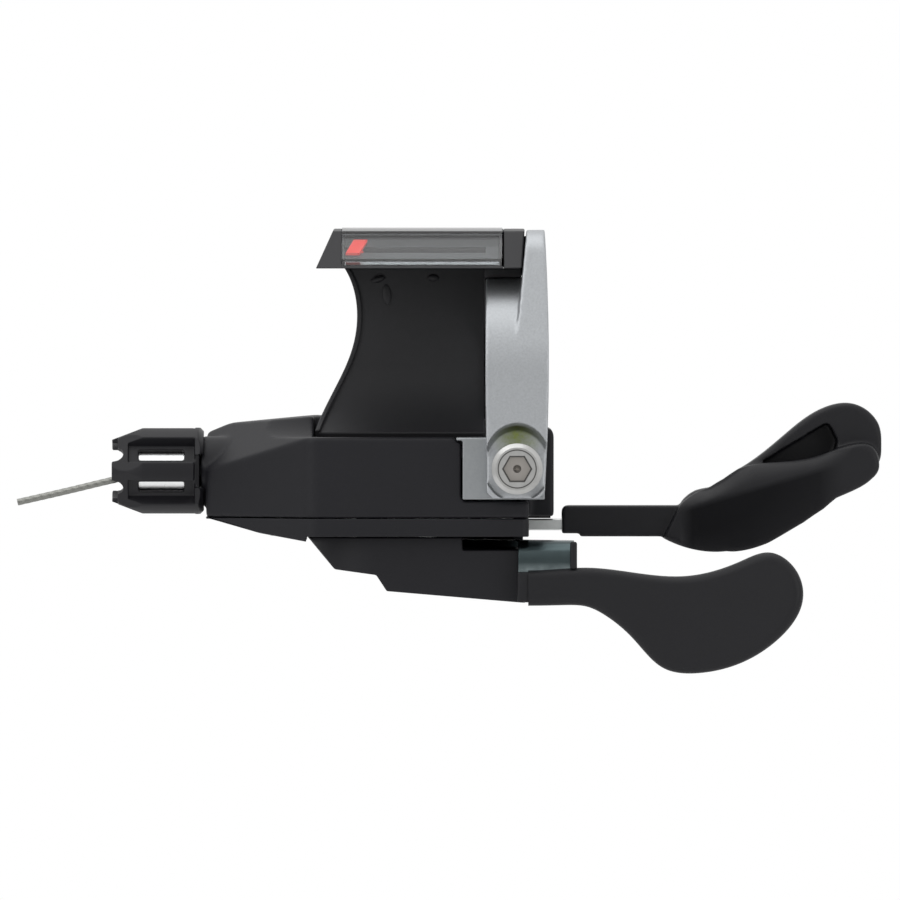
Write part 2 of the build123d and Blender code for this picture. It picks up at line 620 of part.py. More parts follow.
def cable_spool():
    """Take-up spool: grooved rim, cup for the spiral spring and a pocket for the cable's end."""
    spool = upright(SPOOL_PITCH_R + SPOOL_RIM, AXLE, RATCHET_TOP, SPOOL_TOP)
    slot = Pos(SPOOL_PITCH_R, 0) * Circle(GROOVE_R)
    slot += Pos(SPOOL_PITCH_R + SPOOL_RIM, 0) * Rectangle(2 * SPOOL_RIM, 2 * GROOVE_R)
    groove = revolve(Plane.XZ * slot, Axis.Z)
    spool -= Pos(*AXLE, CABLE_Z) * groove
    spool -= plan_prism(disc(AXLE, CUP_R) - disc(AXLE, SPOOL_HUB_R), CUP_FLOOR, SPOOL_TOP)
    spool -= upright(NIPPLE_D / 2 + NIPPLE_GAP, NIPPLE, NIPPLE_LOW, SPOOL_TOP)
    return spool - upright(AXLE_HOLE_R, AXLE, -FAR, FAR)


def cable_nipple():
    """Barrel end of the cable in the spool's pocket."""
    return upright(NIPPLE_D / 2, NIPPLE, NIPPLE_LOW, NIPPLE_LOW + NIPPLE_H)


def saw_teeth(leaning):
    """Ratchet outline: steep flanks face one way round for leaning 1, the other way for -1."""
    pitch = 360 / RATCHET_TEETH
    points = []
    for tooth in range(RATCHET_TEETH):
        angle = tooth * pitch * leaning
        points.append(polar(RATCHET_TIP_R, angle))
        points.append(polar(RATCHET_TIP_R - RATCHET_DEPTH, angle + pitch * leaning * TOOTH_FLANK))
    return face_of(points)


def ratchet_wheel():
    """Steel wheel under the spool: index teeth above, feed teeth below."""
    hole = disc(AXLE, AXLE_HOLE_R)
    index = plan_prism(saw_teeth(1) - hole, RATCHET_TOP - TIER_T, RATCHET_TOP)
    return index + plan_prism(saw_teeth(-1) - hole, RATCHET_BOTTOM, RATCHET_TOP - TIER_T)


def pawl(pin_angle, way, z_middle):
    """Flat pawl from its pin to a nose just off the tooth tips."""
    pin = polar(PAWL_PIN_R, pin_angle)
    nose = polar(RATCHET_TIP_R + PAWL_GAP + PAWL_NOSE_R, pin_angle + way * PAWL_SPAN)
    outline = arm(pin, PAWL_EYE_R, nose, PAWL_NOSE_R) - disc(pin, PAWL_PIN_D / 2 + PAWL_PIN_FIT)
    return plan_prism(outline, z_middle - PAWL_T / 2, z_middle + PAWL_T / 2)


INDEX_TIER = RATCHET_TOP - TIER_T / 2
FEED_TIER = RATCHET_BOTTOM + TIER_T / 2
HOLD_PIN = polar(PAWL_PIN_R, HOLD_PIN_ANGLE)
FEED_PIN = polar(PAWL_PIN_R, FEED_PIN_ANGLE)


def hold_pawl():
    """Pawl that keeps the chosen gear, on the plate."""
    return pawl(HOLD_PIN_ANGLE, -1, INDEX_TIER)


def feed_pawl():
    """Pawl that winds the spool, on the thumb lever."""
    return pawl(FEED_PIN_ANGLE, 1, FEED_TIER)


def pawl_pin(place, z_root, z_seat, z_middle):
    """Shouldered pin: stub in its carrier, shoulder up to the pawl, neck through it and a flat head."""
    shoulder_top = z_middle - PAWL_T / 2 - STACK_GAP
    neck_top = z_middle + PAWL_T / 2 + STACK_GAP
    head_r = (PAWL_PIN_D / 2 + PAWL_EYE_R) / 2
    return (upright(PAWL_PIN_D / 2, place, z_root, neck_top)
            + upright(head_r, place, z_seat, shoulder_top)
            + upright(head_r, place, neck_top, neck_top + PAWL_HEAD_T))


def hold_pawl_pin():
    """Pin of the holding pawl, riveted in the plate."""
    return pawl_pin(HOLD_PIN, PLATE_BOTTOM, PLATE_TOP, INDEX_TIER)


def feed_pawl_pin():
    """Pin of the feed pawl, riveted in the thumb lever's sheet."""
    return pawl_pin(FEED_PIN, THUMB_BOTTOM, THUMB_TOP, FEED_TIER)


def plan_outline(right, inset):
    """Housing outline in plan: a nose round the adjuster that widens to the full body."""
    nose_low = ADJUSTER_Y - NOSE_WIDTH / 2
    nose_high = ADJUSTER_Y + NOSE_WIDTH / 2
    points = [(NOSE_X, nose_low), (FRONT_CORNER_X, FRONT_Y), (right, FRONT_Y), (right, BACK_Y),
              (BACK_CORNER_X, BACK_Y), (NOSE_X, nose_high)]
    outline = face_of(points, [NOSE_ROUND, CORNER_ROUND, RIGHT_ROUND, CORNER_ROUND, BACK_ROUND, NOSE_ROUND])
    return offset(outline, amount=-inset, kind=Kind.INTERSECTION) if inset else outline


def nose_facet(inset):
    """Half space above the sloping facet on the nose, as a thick slab."""
    crease_start = Vector(NOSE_X, ADJUSTER_Y - NOSE_WIDTH / 2, -CREASE_DROP)
    crease_end = Vector(FRONT_CORNER_X, FRONT_Y, -TROUGH_R)
    crest = Vector(SHOULDER_X, ADJUSTER_Y + FACET_CREST, -SHOULDER_TOP)
    normal = (crease_end - crease_start).cross(crest - crease_start).normalized()
    plane = Plane(origin=crease_start - normal * inset, x_dir=crease_end - crease_start, z_dir=normal)
    return plane * extrude(Rectangle(FAR, FAR), amount=FAR)


def upper_body(inset):
    """Solid form of the upper cover, drawn in by inset on every side."""
    silhouette = face_of([(NOSE_X, -FAR), (NOSE_X, -NOSE_TOP), (SHOULDER_X, -SHOULDER_TOP),
                          (HUMP_X, -HUMP_TOP), (BLOCK_X, -BLOCK_TOP), (BLOCK_X, -FAR)],
                         [0, NOSE_TOP_ROUND, SHOULDER_ROUND, 0, BLOCK_ROUND, 0])
    if inset:
        silhouette = offset(silhouette, amount=-inset, kind=Kind.INTERSECTION)
    body = front_prism(silhouette, -FAR, FAR) & plan_prism(plan_outline(BLOCK_X, inset), -PARTING_DROP, 0)
    section = face_of([(-FAR, -FAR), (-FAR, -HUMP_TOP), (BACK_Y, -HUMP_TOP), (BACK_Y, -FAR)],
                      [0, 0, BACK_TOP_ROUND, 0])
    if inset:
        section = offset(section, amount=-inset, kind=Kind.INTERSECTION)
    body &= side_prism(section, -FAR, FAR)
    body -= nose_facet(inset)
    body -= block((-FAR, -FAR, -TROUGH_R - inset), (FAR, 0, FAR))
    body -= rod(TROUGH_R + inset, (-FAR, 0, 0), (FAR, 0, 0))
    pocket_left = STEM_EDGE[0][0] - STEM_SEAT_GAP - inset
    body -= rod(STEM_OUT_R + STEM_SEAT_GAP + inset, (pocket_left, 0, 0), (FAR, 0, 0)) - block(
        (-FAR, -FAR, -FAR), (FAR, 0, FAR))
    recess_back = max(BAND_R, BOLT_END_Y) + BAND_ROOM + inset
    recess_floor = -BRACKET_BOTTOM - BRACKET_ROOM - inset * RECESS_FLOOR_T / COVER_WALL
    room = BRACKET_ROOM + inset
    bracket_back = BRACKET_DEPTH - LEG_IN + room
    lip_floor = -TROUGH_R - BRACKET_LIP_T - room
    body -= block((BAND_LEFT - room, -FAR, recess_floor), (FAR, recess_back, FAR))
    body -= block((BRACKET_LEFT - room, -FAR, recess_floor), (FAR, bracket_back, FAR))
    body -= block((BRACKET_LEFT - BRACKET_LIP - room, -FAR, lip_floor), (FAR, bracket_back, FAR))
    return body - block((COVER_RIGHT - inset, -FAR, -FAR), (FAR, recess_back, FAR))


def screw_posts(z_low, z_high, radius):
    """Round posts or holes at the cover screws' places."""
    return [upright(radius, place, z_low, z_high) for place in SCREW_PLACES]


def upper_cover():
    """Upper moulding: walls of one thickness, open below, with the adjuster's threaded boss in its nose."""
    cover = upper_body(0)
    hollow = upper_body(COVER_WALL)
    boss_end = (NOSE_X + THREAD_LENGTH, CABLE_Y, CABLE_Z)
    boss = rod(NOSE_WIDTH / 2, (NOSE_X, CABLE_Y, CABLE_Z), boss_end)
    cover -= hollow - boss
    cover += rod(COLLAR_R, (NOSE_X - COLLAR_LENGTH, CABLE_Y, CABLE_Z), boss_end)
    posts = screw_posts(-PARTING_DROP, 0, SCREW_POST_D / 2)
    cover += [post & hollow for post in posts]
    cover -= screw_posts(-FAR, -LOWER_DROP + SCREW_HEAD_H + SCREW_LENGTH + SCREW_END_ROOM, SCREW_D / 2)
    cover -= rod(THREAD_D / 2 + THREAD_FIT, (-FAR, CABLE_Y, CABLE_Z), boss_end)
    foot_low = (FOOT_X - FOOT_LENGTH / 2, FOOT_Y - FOOT_WIDTH / 2)
    foot_high = (FOOT_X + FOOT_LENGTH / 2, FOOT_Y + FOOT_WIDTH / 2)
    gap = BRACKET_ROOM
    return cover - block((foot_low[0] - gap, foot_low[1] - gap, -FAR),
                         (foot_high[0] + gap, foot_high[1] + gap, 0))


def lower_cover():
    """Middle moulding: a frame under the upper cover with a chin below the nose and a slot for the tongue."""
    top = -PARTING_DROP - SEAM_GAP
    lip_x = BOTTOM_LEFT_X - SEAM_GAP
    silhouette = face_of([(NOSE_X, top), (SHOULDER_X, -NOSE_CHIN_DROP), (NOSE_BOTTOM_X, -NOSE_BOTTOM_DROP),
                          (lip_x, -LOWER_DROP - CHIN_LIP), (lip_x, -LOWER_DROP), (COVER_RIGHT, -LOWER_DROP),
                          (COVER_RIGHT, top)], [0, CHIN_ROUND, CHIN_ROUND, 0, 0, 0, 0])
    cover = front_prism(silhouette, -FAR, FAR) & plan_prism(plan_outline(COVER_RIGHT, 0), -FAR, 0)
    hollow = plan_prism(plan_outline(COVER_RIGHT, COVER_WALL), -FAR, 0)
    hollow -= block((-FAR, -FAR, -FAR), (BOTTOM_LEFT_X + COVER_WALL, FAR, FAR))
    cover -= hollow
    posts = screw_posts(-LOWER_DROP, top, SCREW_POST_D / 2)
    cover += [post & (hollow & plan_prism(plan_outline(COVER_RIGHT, 0), -LOWER_DROP, top)) for post in posts]
    cover -= screw_posts(-FAR, FAR, SCREW_D / 2 + SCREW_GAP)
    cover -= screw_posts(-FAR, -LOWER_DROP + SCREW_HEAD_H, SCREW_HEAD_D / 2 + SCREW_GAP)
    swing = (COVER_RIGHT - AXLE_X) * tan(radians(RELEASE_SWING))
    slot_low = AXLE_Y - TONGUE_WIDTH / 2 - swing - TONGUE_ROOM
    slot_high = AXLE_Y + TONGUE_WIDTH / 2 + TONGUE_ROOM
    return cover - block((0, slot_low, -FAR), (FAR, slot_high, RELEASE_TOP + TONGUE_ROOM / 2))


def bottom_body(inset):
    """Solid form of the stepped bottom cover, drawn in by inset."""
    silhouette = face_of([(BOTTOM_LEFT_X, 0), (BOTTOM_LEFT_X, -LOWER_DROP), (STEP_X, -STEP_DROP),
                          (STEP_END_X, -STEP_END_DROP), (PAN_X, -PAN_DROP), (BOTTOM_RIGHT_X, -PAN_END_DROP),
                          (BOTTOM_RIGHT_X, 0)])
    outline = face_of([(BOTTOM_LEFT_X, BOTTOM_FRONT_Y), (BOTTOM_RIGHT_X, BOTTOM_FRONT_Y),
                       (BOTTOM_RIGHT_X, BOTTOM_BACK_Y), (BOTTOM_LEFT_X, BOTTOM_BACK_Y)],
                      [BOTTOM_ROUND, BOTTOM_RIGHT_ROUND, BOTTOM_ROUND, BOTTOM_ROUND])
    if inset:
        silhouette = offset(silhouette, amount=-inset, kind=Kind.INTERSECTION)
        outline = offset(outline, amount=-inset, kind=Kind.INTERSECTION)
    return front_prism(silhouette, -FAR, FAR) & plan_prism(outline, -FAR, -LOWER_DROP - SEAM_GAP)


def bottom_cover():
    """Stepped pan under the levers, with a slot at the front right for the thumb lever's sheet."""
    cover = bottom_body(0) - bottom_body(COVER_WALL)
    slot_floor = THUMB_BOTTOM - THUMB_SLOT_GAP
    slot_front = block((THUMB_SLOT_LEFT, -FAR, slot_floor), (FAR, THUMB_SLOT_BACK, 0))
    return cover - slot_front


def cover_screws():
    """Pan-head screws that hold the two upper mouldings together."""
    screws = []
    for place in SCREW_PLACES:
        seat = -LOWER_DROP + SCREW_HEAD_H
        head = upright(SCREW_HEAD_D / 2, place, seat - SCREW_HEAD_H, seat)
        screws.append(head + upright(SCREW_D / 2, place, seat, seat + SCREW_LENGTH))
    return Compound(children=screws)


def thumb_plate():
    """Bent sheet of the thumb lever: an eye on the axle, the feed pawl's arm and a flange turned down."""
    inner_y = THUMB_FLANGE_Y + THUMB_BEND_R
    sheet = face_of([polar(THUMB_BOSS_R, THUMB_SIDE_ANGLE), (THUMB_FLANGE_LEFT, inner_y),
                     (THUMB_FLANGE_RIGHT, inner_y), AXLE])
    sheet += disc(AXLE, THUMB_BOSS_R) + arm(AXLE, THUMB_BOSS_R, FEED_PIN, FEED_ARM_R)
    sheet -= disc(AXLE, AXLE_HOLE_R) + disc(FEED_PIN, PAWL_PIN_D / 2)
    bend_in = THUMB_BEND_R - THUMB_T
    centre_z = THUMB_TOP - THUMB_BEND_R
    bend = Circle(THUMB_BEND_R) - Circle(bend_in)
    bend &= Pos(-THUMB_BEND_R / 2, THUMB_BEND_R / 2) * Rectangle(THUMB_BEND_R, THUMB_BEND_R)
    flange = Pos(inner_y, centre_z) * bend
    flange += face_of([(THUMB_FLANGE_Y, centre_z), (THUMB_FLANGE_Y + THUMB_T, centre_z),
                       (THUMB_FLANGE_Y + THUMB_T, -THUMB_FLANGE_DROP), (THUMB_FLANGE_Y, -THUMB_FLANGE_DROP)])
    flat = plan_prism(sheet, THUMB_BOTTOM, THUMB_TOP)
    return flat + side_prism(flange, THUMB_FLANGE_LEFT, THUMB_FLANGE_RIGHT)


def thumb_pad():
    """Moulded thumb pad: its front outline, drawn out along a plan that sweeps towards the rider."""
    points = [(THUMB_PAD_LEFT + along, up - THUMB_PAD_TOP) for along, up in THUMB_OUTLINE]
    outline = make_face(Spline(*points, tangents=((1, 0), (-1, 0))) + Line(points[-1], points[0]))
    right = THUMB_PAD_LEFT + max(along for along, up in THUMB_OUTLINE) + THUMB_PAD_DEPTH
    front = THUMB_FLANGE_Y - THUMB_PAD_SKIN
    pad = swept_prism(outline, THUMB_PAD_LEFT, right, front, THUMB_PAD_DEPTH, -THUMB_PAD_SWEEP)
    rims = pad.edges().filter_by(lambda edge: edge.length > THUMB_PAD_DEPTH * 3)
    return fillet(rims, THUMB_PAD_ROUND) - thumb_plate()


def release_plate():
    """Flat lever sheet: an eye on the axle and a tongue that leaves the housing to the right."""
    length = RELEASE_PAD_LEFT + TONGUE_SINK - AXLE_X
    tongue = Pos(AXLE_X + length / 2, AXLE_Y) * Rectangle(length, TONGUE_WIDTH)
    outline = tongue + disc(AXLE, RELEASE_BOSS_R) - disc(AXLE, AXLE_HOLE_R)
    return plan_prism(outline, RELEASE_BOTTOM, RELEASE_TOP)


def paddle_band(outline, front, depth):
    """Slice of the paddle under a front outline, bent away from the rider towards its end."""
    right = RELEASE_PAD_LEFT + max(along for along, up in BACK_OUTLINE) + BACK_WALL
    return swept_prism(outline, RELEASE_PAD_LEFT, right, front, depth, PADDLE_SWEEP)


def paddle_wall(outline, front, depth, rounding):
    """Rounded wall of the paddle from its outline."""
    points = [(RELEASE_PAD_LEFT + along, up - RELEASE_ARM_TOP) for along, up in outline]
    wall = paddle_band(make_face(Spline(*points) + Line(points[-1], points[0])), front, depth)
    rims = wall.edges().filter_by(lambda edge: edge.length > PADDLE_DEPTH * 3)
    return fillet(rims, rounding)


def release_pad():
    """Moulded finger lever: a square arm that swells into a paddle, tall at the back, with a pocket."""
    arm_end = RELEASE_PAD_LEFT + FRONT_OUTLINE[0][0] + FRONT_WALL
    arm_top = -RELEASE_ARM_TOP
    arm_low = THUMB_TOP + LEVER_GAP
    step_z = arm_low + RELEASE_ARM_STEP
    step_x = RELEASE_PAD_LEFT + RELEASE_ARM_STEP_X
    arm_face = face_of([(RELEASE_PAD_LEFT, arm_top), (arm_end, arm_top), (arm_end, arm_low),
                        (step_x, arm_low), (step_x, step_z), (RELEASE_PAD_LEFT, step_z)],
                       [RELEASE_ARM_ROUND, 0, 0, 0, 0, 0])
    half = RELEASE_ARM_DEPTH / 2
    back = AXLE_Y + half + PADDLE_SHIFT
    front = back - PADDLE_DEPTH
    tall_front = back - BACK_WALL
    tall = paddle_wall(BACK_OUTLINE, tall_front, BACK_WALL, BACK_WALL_ROUND)
    corners = [(RELEASE_PAD_LEFT + along, up - RELEASE_ARM_TOP) for along, up in POCKET_OUTLINE]
    tall -= paddle_band(face_of(corners, POCKET_ROUND), tall_front - FRONT_WALL, FRONT_WALL + POCKET_DEPTH)
    paddle = tall + paddle_wall(FRONT_OUTLINE, front, FRONT_WALL, FRONT_WALL_ROUND)
    return front_prism(arm_face, AXLE_Y - half, AXLE_Y + half) + paddle - release_plate()


def tray_profile():
    """Display section in (Y, Z): sloping front, crowned top, plain back."""
    front = (TRAY_FRONT, TRAY_BOTTOM)
    brow = (TRAY_BROW_Y, TRAY_BROW)
    rear = (TRAY_BACK - TRAY_WALL, TRAY_REAR)
    heel = (TRAY_BACK, TRAY_BOTTOM)
    crown = ((brow[0] + rear[0]) / 2, TRAY_CROWN)
    return make_face(Line(front, brow) + ThreePointArc(brow, crown, rear) + Polyline(rear, heel, front))


def display_trim():
    """Front outline of the display: its inner end leans."""
    outline = face_of([(TRAY_LEFT, TRAY_BOTTOM), (TRAY_TOP_LEFT, TRAY_CROWN), (TRAY_RIGHT, TRAY_CROWN),
                       (TRAY_RIGHT, TRAY_BOTTOM)])
    return front_prism(outline, -FAR, FAR)


def top_skin(thickness):
    """Outer layer of the display section, without its underside."""
    profile = tray_profile()
    core = offset(profile, amount=-thickness, kind=Kind.INTERSECTION)
    return profile - core - Pos(0, -2 * thickness) * core


def lens_block(play):
    """Space of the window pane, larger by play."""
    return block((WINDOW_LEFT - play, -FAR, TRAY_BOTTOM + LENS_RISE - play),
                 (WINDOW_RIGHT + play, LENS_BACK + play, FAR))


def indicator_lens():
    """Clear pane that wraps from the sloping front over the top."""
    return side_prism(top_skin(LENS_T), WINDOW_LEFT, WINDOW_RIGHT) & lens_block(0)


def indicator_tray():
    """Display body: hollow behind the window, with a ledge for the pane."""
    profile = tray_profile()
    body = side_prism(profile, TRAY_LEFT, TRAY_RIGHT - END_CAP_LENGTH) & display_trim()
    body -= side_prism(top_skin(LENS_T + LENS_FIT), -FAR, FAR) & lens_block(LENS_FIT)
    room = offset(profile, amount=-TRAY_WALL, kind=Kind.INTERSECTION)
    return body - side_prism(room, WINDOW_LEFT + LENS_LEDGE, WINDOW_RIGHT - LENS_LEDGE)


def indicator_end_cap():
    """Outboard end of the display, against the band's fin."""
    left = TRAY_RIGHT - END_CAP_LENGTH
    right = TRAY_RIGHT + END_CAP_LEAN
    trim = face_of([(left, TRAY_BOTTOM), (TRAY_RIGHT, TRAY_BOTTOM), (right, TRAY_CROWN), (left, TRAY_CROWN)])
    return side_prism(tray_profile(), left, right) & front_prism(trim, -FAR, FAR)


def window_plane(depth):
    """Plane under the sloping window: local x along the bar, local y up the slope, z outwards."""
    slope = Vector(0, TRAY_BROW_Y - TRAY_FRONT, TRAY_BROW - TRAY_BOTTOM).normalized()
    outwards = Vector(1, 0, 0).cross(slope)
    origin = Vector(0, TRAY_FRONT, TRAY_BOTTOM) - outwards * depth
    return Plane(origin=origin, x_dir=(1, 0, 0), z_dir=outwards)


NEEDLE_DEPTH = LENS_T + NEEDLE_GAP
DIAL_DEPTH = NEEDLE_DEPTH + NEEDLE_T + NEEDLE_GAP


def dial_plate():
    """Grey plate behind the needle, with the slot that the needle's stem runs in."""
    left = WINDOW_LEFT + LENS_LEDGE + DIAL_FIT
    right = WINDOW_RIGHT - LENS_LEDGE - DIAL_FIT
    plate = face_of([(left, DIAL_LOW), (right, DIAL_LOW), (right, DIAL_HIGH), (left, DIAL_HIGH)])
    slot_left = NEEDLE_LEFT - NEEDLE_GAP
    slot_right = NEEDLE_LEFT + NEEDLE_W + NEEDLE_TRAVEL + NEEDLE_GAP
    middle = NEEDLE_LOW + NEEDLE_LENGTH / 2
    half = NEEDLE_STEM / 2 + NEEDLE_GAP
    plate -= face_of([(slot_left, middle - half), (slot_right, middle - half), (slot_right, middle + half),
                      (slot_left, middle + half)])
    return extrude(window_plane(DIAL_DEPTH + DIAL_T) * plate, amount=DIAL_T)


def indicator_needle():
    """Slanted flag over the dial, with a stem through the slot and a runner behind."""
    left = NEEDLE_LEFT
    flag = face_of([(left, NEEDLE_LOW), (left + NEEDLE_W, NEEDLE_LOW),
                    (left + NEEDLE_W + NEEDLE_LEAN, NEEDLE_LOW + NEEDLE_LENGTH),
                    (left + NEEDLE_LEAN, NEEDLE_LOW + NEEDLE_LENGTH)])
    centre = (left + (NEEDLE_W + NEEDLE_LEAN) / 2, NEEDLE_LOW + NEEDLE_LENGTH / 2)
    stem = Pos(*centre) * Rectangle(NEEDLE_STEM, NEEDLE_STEM)
    runner = Pos(*centre) * Rectangle(NEEDLE_W, NEEDLE_STEM * 2)
    behind = DIAL_DEPTH + DIAL_T + NEEDLE_GAP
    return (extrude(window_plane(NEEDLE_DEPTH + NEEDLE_T) * flag, amount=NEEDLE_T)
            + extrude(window_plane(behind) * stem, amount=behind - NEEDLE_DEPTH - NEEDLE_T)
            + extrude(window_plane(behind + NEEDLE_T) * runner, amount=NEEDLE_T))


def stem_section(inner, outer):
    """Wall section in (Y, Z): round the bar's far side from the housing, then straight up to the display."""
    low = radians(STEM_START)
    sector = face_of([(0, 0), (FAR * cos(low), FAR * sin(low)), (FAR, 0)])
    return ((Circle(outer) - Circle(inner)) & sector) + face_of(
        [(inner, 0), (outer, 0), (outer, TRAY_BOTTOM), (inner, TRAY_BOTTOM)])


def indicator_stem():
    """Wall that carries the display over the bar, with a rim along its concave inner edge."""
    top_left = STEM_EDGE[-1]
    bottom_left = STEM_EDGE[0]
    foot = -STEM_OUT_R
    trim = make_face(Spline(*STEM_EDGE) + Polyline(top_left, (STEM_RIGHT, top_left[1]), (STEM_RIGHT, foot),
                                                   (bottom_left[0], foot), bottom_left))
    rim_trim = trim - Pos(STEM_RIM_W, 0) * trim
    stem = side_prism(stem_section(STEM_IN_R, STEM_OUT_R), -FAR, FAR) & front_prism(trim, -FAR, FAR)
    rim = side_prism(stem_section(STEM_IN_R - STEM_RIM_T, STEM_IN_R), -FAR, FAR)
    stem += rim & front_prism(rim_trim, -FAR, FAR)
    flap_y = BAND_R + STEM_FLAP_GAP
    stem += block((STEM_RIGHT, flap_y, -STEM_FLAP_LOW),
                  (STEM_RIGHT + STEM_FLAP_REACH, flap_y + STEM_FLAP_T, TRAY_BOTTOM))
    return stem + block((STEM_RIGHT, HOOD_FRONT, BAND_R + HOOD_GAP),
                        (TRAY_RIGHT - HOOD_GAP, STEM_OUT_R, TRAY_BOTTOM))


def on_adjuster(shape):
    """Move a shape drawn about the X axis to the adjuster's axis."""
    return Pos(0, CABLE_Y, CABLE_Z) * shape


def turned(points):
    """Body of revolution about X from (x, radius) points."""
    return revolve(Plane.XY * face_of(points), Axis.X)


def adjuster_knob():
    """Fluted knob: lobes with tapered tips, flutes between them and a window in each flute."""
    knob_r = KNOB_D / 2
    bore_r = CORE_R + CORE_GAP
    taper_x = KNOB_LEFT + KNOB_NOSE_LENGTH
    profile = make_face(
        Polyline((KNOB_LEFT, bore_r), (KNOB_LEFT, KNOB_NOSE_R))
        + ThreePointArc((KNOB_LEFT, KNOB_NOSE_R), (KNOB_LEFT + KNOB_NOSE_LENGTH / 2, knob_r - KNOB_NOSE_DIP),
                        (taper_x, knob_r))
        + Polyline((taper_x, knob_r), (KNOB_RIGHT - KNOB_WALL, knob_r), (KNOB_RIGHT, knob_r - KNOB_WALL),
                   (KNOB_RIGHT, bore_r), (KNOB_LEFT, bore_r)))
    recess_x = NOSE_X - COLLAR_LENGTH - COLLAR_GAP
    knob = revolve(profile, Axis.X) - rod(COLLAR_R + COLLAR_GAP, (recess_x, 0, 0), (FAR, 0, 0))
    window_x = KNOB_LEFT + KNOB_WINDOW_START
    for lobe in range(KNOB_LOBES):
        turn = Rot(360 * (lobe + 0.5) / KNOB_LOBES, 0, 0)
        half = KNOB_FLUTE_W / 2
        rim = half + KNOB_FLUTE_FLARE
        floor = face_of([(-rim, knob_r * 2), (-rim, knob_r), (-half, KNOB_FLUTE_R), (half, KNOB_FLUTE_R),
                         (rim, knob_r), (rim, knob_r * 2)])
        knob -= turn * side_prism(floor, KNOB_LEFT + KNOB_FLUTE_START, KNOB_RIGHT - KNOB_FLUTE_END)
        notch_r = KNOB_NOTCH_W / 2
        notch_x = KNOB_LEFT + KNOB_NOTCH - notch_r
        knob -= turn * rod(notch_r, (notch_x, 0, 0), (notch_x, 0, knob_r * 2))
        knob -= turn * block((KNOB_LEFT - KNOB_NOTCH, -notch_r, 0), (notch_x, notch_r, knob_r * 2))
        knob -= turn * block((window_x, -KNOB_WINDOW_W / 2, 0),
                             (window_x + KNOB_WINDOW_LENGTH, KNOB_WINDOW_W / 2, knob_r))
        on_lobe = Rot(360 * lobe / KNOB_LOBES, 0, 0)
        lobe_half = KNOB_LOBE_W / 2
        if lobe % 2:
            knob -= on_lobe * block((KNOB_LEFT, -lobe_half, 0),
                                    (KNOB_LEFT + KNOB_STAGGER, lobe_half, knob_r * 2))
        else:
            knob -= on_lobe * block((KNOB_RIGHT - KNOB_END_STAGGER, -lobe_half, KNOB_FLUTE_R),
                                    (KNOB_RIGHT, lobe_half, knob_r * 2))
    return on_adjuster(Rot(KNOB_TURN, 0, 0) * knob)


def adjuster_bolt():
    """Metal core: casing seat in its outer end, hole for the cable and a stem that screws into the nose."""
    seat_x = KNOB_LEFT + CORE_LEFT_SETBACK
    hole_x = seat_x + SEAT_DEPTH
    stem_x = NOSE_X - COLLAR_LENGTH - COLLAR_GAP
    end_x = NOSE_X + THREAD_LENGTH
    stem_r = THREAD_D / 2
    hole_r = CABLE_HOLE_D / 2
    seat_r = SEAT_D / 2
    return on_adjuster(turned([(seat_x, seat_r), (seat_x, CORE_R), (stem_x, CORE_R), (stem_x, stem_r),
                               (end_x, stem_r), (end_x, hole_r), (hole_x, hole_r), (hole_x, seat_r)]))


def cable_path():
    """Route of the cable: round the spool, straight through the adjuster, then the drooping free end."""
    start = polar(SPOOL_PITCH_R, CABLE_WRAP_END)
    middle = polar(SPOOL_PITCH_R, (CABLE_WRAP_END - 90) / 2)
    leave = polar(SPOOL_PITCH_R, -90)
    wrap = ThreePointArc((*start, CABLE_Z), (*middle, CABLE_Z), (*leave, CABLE_Z))
    points = [Vector(*leave, CABLE_Z)] + [Vector(x, CABLE_Y, z) for x, z in CABLE_TAIL]
    radii = []
    for before, here, after in zip(points, points[1:], points[2:]):
        turn = (here - before).get_angle(after - here)
        run = min((here - before).length, (after - here).length)
        radii.append(ARC_SHARE * run / tan(radians(turn / 2)))
    tail = FilletPolyline(*points, radius=radii)
    return wrap + tail


def inner_cable():
    """Round steel cable from the spool to its cut end."""
    path = cable_path()
    section = Plane(origin=path @ 0, z_dir=path % 0) * Circle(CABLE_D / 2)
    return sweep(section, path=path)


NODES = {
    "clamp_band": clamp_band(), "clamp_bolt": clamp_bolt(), "clamp_nut": clamp_nut(),
    "base_bracket": base_bracket(), "base_plate": base_plate(), "plate_screw": plate_screw(),
    "upper_cover": upper_cover(), "lower_cover": lower_cover(), "bottom_cover": bottom_cover(),
    "cover_screws": cover_screws(),
    "indicator_stem": indicator_stem(), "indicator_tray": indicator_tray(),
    "indicator_end_cap": indicator_end_cap(), "indicator_lens": indicator_lens(),
    "dial_plate": dial_plate(), "indicator_needle": indicator_needle(),
    "main_axle": main_axle(), "axle_nut": axle_nut(),
    "plate_washer": washer(RATCHET_BOTTOM - STACK_GAP, PLATE_WASHER_T),
    "release_washer": washer(PLATE_BOTTOM - STACK_GAP, RELEASE_WASHER_T),
    "thumb_washer": washer(RELEASE_BOTTOM - STACK_GAP, THUMB_WASHER_T),
    "thumb_return_spring": thumb_return_spring(), "release_return_spring": release_return_spring(),
    "spool_spring": spool_spring(),
    "cable_spool": cable_spool(), "ratchet_wheel": ratchet_wheel(), "cable_nipple": cable_nipple(),
    "hold_pawl": hold_pawl(), "hold_pawl_pin": hold_pawl_pin(),
    "feed_pawl": feed_pawl(), "feed_pawl_pin": feed_pawl_pin(),
    "thumb_plate": thumb_plate(), "thumb_pad": thumb_pad(),
    "release_plate": release_plate(), "release_pad": release_pad(),
    "adjuster_knob": adjuster_knob(), "adjuster_bolt": adjuster_bolt(), "inner_cable": inner_cable(),
}

os.makedirs("parts", exist_ok=True)
for name, shape in NODES.items():
    export_step(shape, f"parts/{name}.step")
print("cable length", round(cable_path().length, 2))
